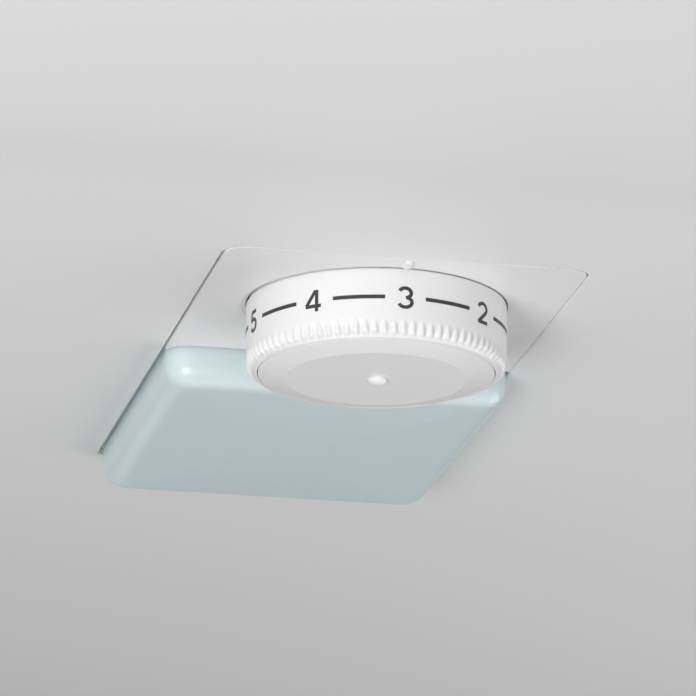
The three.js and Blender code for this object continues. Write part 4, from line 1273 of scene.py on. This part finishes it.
# %% [markdown]
# ## Ribs on the housing
# A thin moulded box would drum and sag, so the tool cuts shallow ribs into it: uprights on its
# sides, a rim above the gasket, a raised pad over the thermostat and bars over the warm lamp.
# %% Housing ribs
HOUSING_X, HOUSING_FRONT, HOUSING_BACK, HOUSING_TOP = 27.5, -26.1, 101.1, 41.0
RIB_SINK, RIB_PROUD, RIB_HALF, RIB_HEIGHTS, RIB_EDGE = 0.4, 0.9, 0.6, (6.5, 37.5), 0.35
SIDE_RIBS = (-2.0, 14.0, 31.75, 46.0, 60.0, 74.0, 88.0)
BACK_RIBS, FRONT_RIBS = (-18.0, 8.0, 19.0), (-14.0, 0.0, 14.0)
ROOF_BARS = (46.0, 53.0, 60.0, 67.0, 74.0, 81.0)


def housing_rim():
    """A low band round the box, just above the gasket."""
    def band(offset, corner):
        return rectangle_outline(-HOUSING_X - offset, HOUSING_X + offset, HOUSING_FRONT - offset,
                                 HOUSING_BACK + offset, (corner,) * 4, 10, 14)

    outer, within = band(1.1, 3.1), band(-0.5, 1.6)
    edge = rounded_profile([(0.5, 6.9, 0), (0, 6.9, 0.3), (0, 5.3, 0.3), (0.5, 5.3, 0)])
    close = np.array([(-0.1, 5.3), (0, 5.4), (0, 6.8), (-0.1, 6.9)])
    return grid_piece("rim", strip(outer, edge, within, close, 2), wrap_rows=True)


def housing_ribs():
    """Uprights on the four sides, bars across the roof, a pad and two collars for the screws."""
    made = [housing_rim()]
    for side, y in [(side, y) for side in (-1, 1) for y in SIDE_RIBS] + [(1, -18.0)]:
        x = sorted((side * (HOUSING_X - RIB_SINK), side * (HOUSING_X + RIB_PROUD)))
        made.append(block_piece("rib", x, (y - RIB_HALF, y + RIB_HALF), RIB_HEIGHTS, RIB_EDGE))
    back = (HOUSING_BACK - RIB_SINK, HOUSING_BACK + RIB_PROUD)
    front = (HOUSING_FRONT - RIB_PROUD, HOUSING_FRONT + RIB_SINK)
    for x, wall in [(x, back) for x in BACK_RIBS] + [(x, front) for x in FRONT_RIBS]:
        made.append(block_piece("rib", (x - RIB_HALF, x + RIB_HALF), wall, RIB_HEIGHTS, RIB_EDGE))
    top = HOUSING_TOP
    for y in ROOF_BARS:
        made.append(block_piece("bar", (-17, 17), (y - 0.8, y + 0.8), (top - RIB_SINK, top + RIB_PROUD), 0.5))
    made.append(block_piece("pad", (-20, 20), (-19, 24), (top - RIB_SINK, top + 0.7), 3.0))
    made.append(block_piece("step", (-13, 13), (-12, 17), (top + 0.3, top + 1.5), 3.0))
    collar = rounded_profile([(4.6, top + 0.2, 0), (4.6, top - RIB_SINK, 0), (2.5, top - RIB_SINK, 0),
                              (2.5, top + 1.0, 0.3), (4.3, top + 1.0, 0.4), (4.6, top + 0.2, 0)])[:-1]
    for side in (-1, 1):
        made.append(grid_piece("collar", spin(collar, 48, "z", (side * 20.0, 96.0, 0)), wrap_rows=True))
    return join_pieces("housing_ribs", *made)


ribs = placed(housing_ribs(), housing_white, "fixture", "casing_grey")
print("housing ribs:", len(ribs.data.polygons), "faces")

# %% [markdown]
# ## Softened edges
# The frame's solids have knife edges. Where a solid's shape is already right, we copy it, merge
# its loose triangles, and round its edges with a bevel as wide as the real process leaves: a few
# tenths on mouldings, less on pressed metal.
# %% Soften what stays
SOFTEN = {"casing_grey": 0.5, "foam_black": 0.35, "bakelite": 0.3, "zinc_steel": 0.14, "brass": 0.1,
          "nylon": 0.2, "rubber": 0.3}
DRAWN = ("capillary_tube", "lead_supply", "lead_lamp")


SHARP_ANGLE, FLAT_ANGLE = math.radians(35), math.radians(0.5)
MERGE_DISTANCE = 0.002 * MM


def merged_copy(name, ending, join_flat):
    """A copy of a solid with its loose triangles joined, and each flat area made one face."""
    work = bmesh.new()
    work.from_mesh(frame["nodes"][name].data)
    bmesh.ops.remove_doubles(work, verts=work.verts, dist=MERGE_DISTANCE)
    if join_flat:
        bmesh.ops.dissolve_limit(work, angle_limit=FLAT_ANGLE, verts=work.verts, edges=work.edges)
    mesh = bpy.data.meshes.new(name + ending)
    work.to_mesh(mesh)
    work.free()
    mesh.shade_smooth()
    copy = bpy.data.objects.new(name + ending, mesh)
    scene.collection.objects.link(copy)
    return copy


def softened(name, width):
    """A merged copy with a bevel on every edge sharper than the sharp angle."""
    copy = merged_copy(name, "_finished", True)
    copy.data.set_sharp_from_angle(angle=SHARP_ANGLE)
    bevel = copy.modifiers.new("rounded_edges", "BEVEL")
    bevel.width = width * MM
    bevel.segments = 2
    bevel.limit_method = "ANGLE"
    bevel.angle_limit = SHARP_ANGLE
    bevel.harden_normals = True
    return copy


def drawn(name, swell=0.11):
    """A tube or a lead: its six-sided section is pushed out along its normals by the little that
    smoothing takes away, and is then subdivided until it is round."""
    copy = merged_copy(name, "_drawn", False)
    vertices = copy.data.vertices
    place, normal = np.empty(len(vertices) * 3), np.empty(len(vertices) * 3)
    vertices.foreach_get("co", place)
    vertices.foreach_get("normal", normal)
    vertices.foreach_set("co", place + normal * swell * MM)
    copy.data.update()
    round_off = copy.modifiers.new("round_off", "SUBSURF")
    round_off.levels = round_off.render_levels = 2
    return copy


for name in DRAWN:
    in_place_of(name, drawn(name))
for name in sorted(frame["nodes"]):
    if name in already:
        continue
    slot_name = slot_of_node[name]
    if slot_name in SOFTEN:
        in_place_of(name, softened(name, SOFTEN[slot_name]))
    else:
        solid = frame["nodes"][name]
        solid.data.materials.clear()
        solid.data.materials.append(FINISH_OF_SLOT[slot_name])
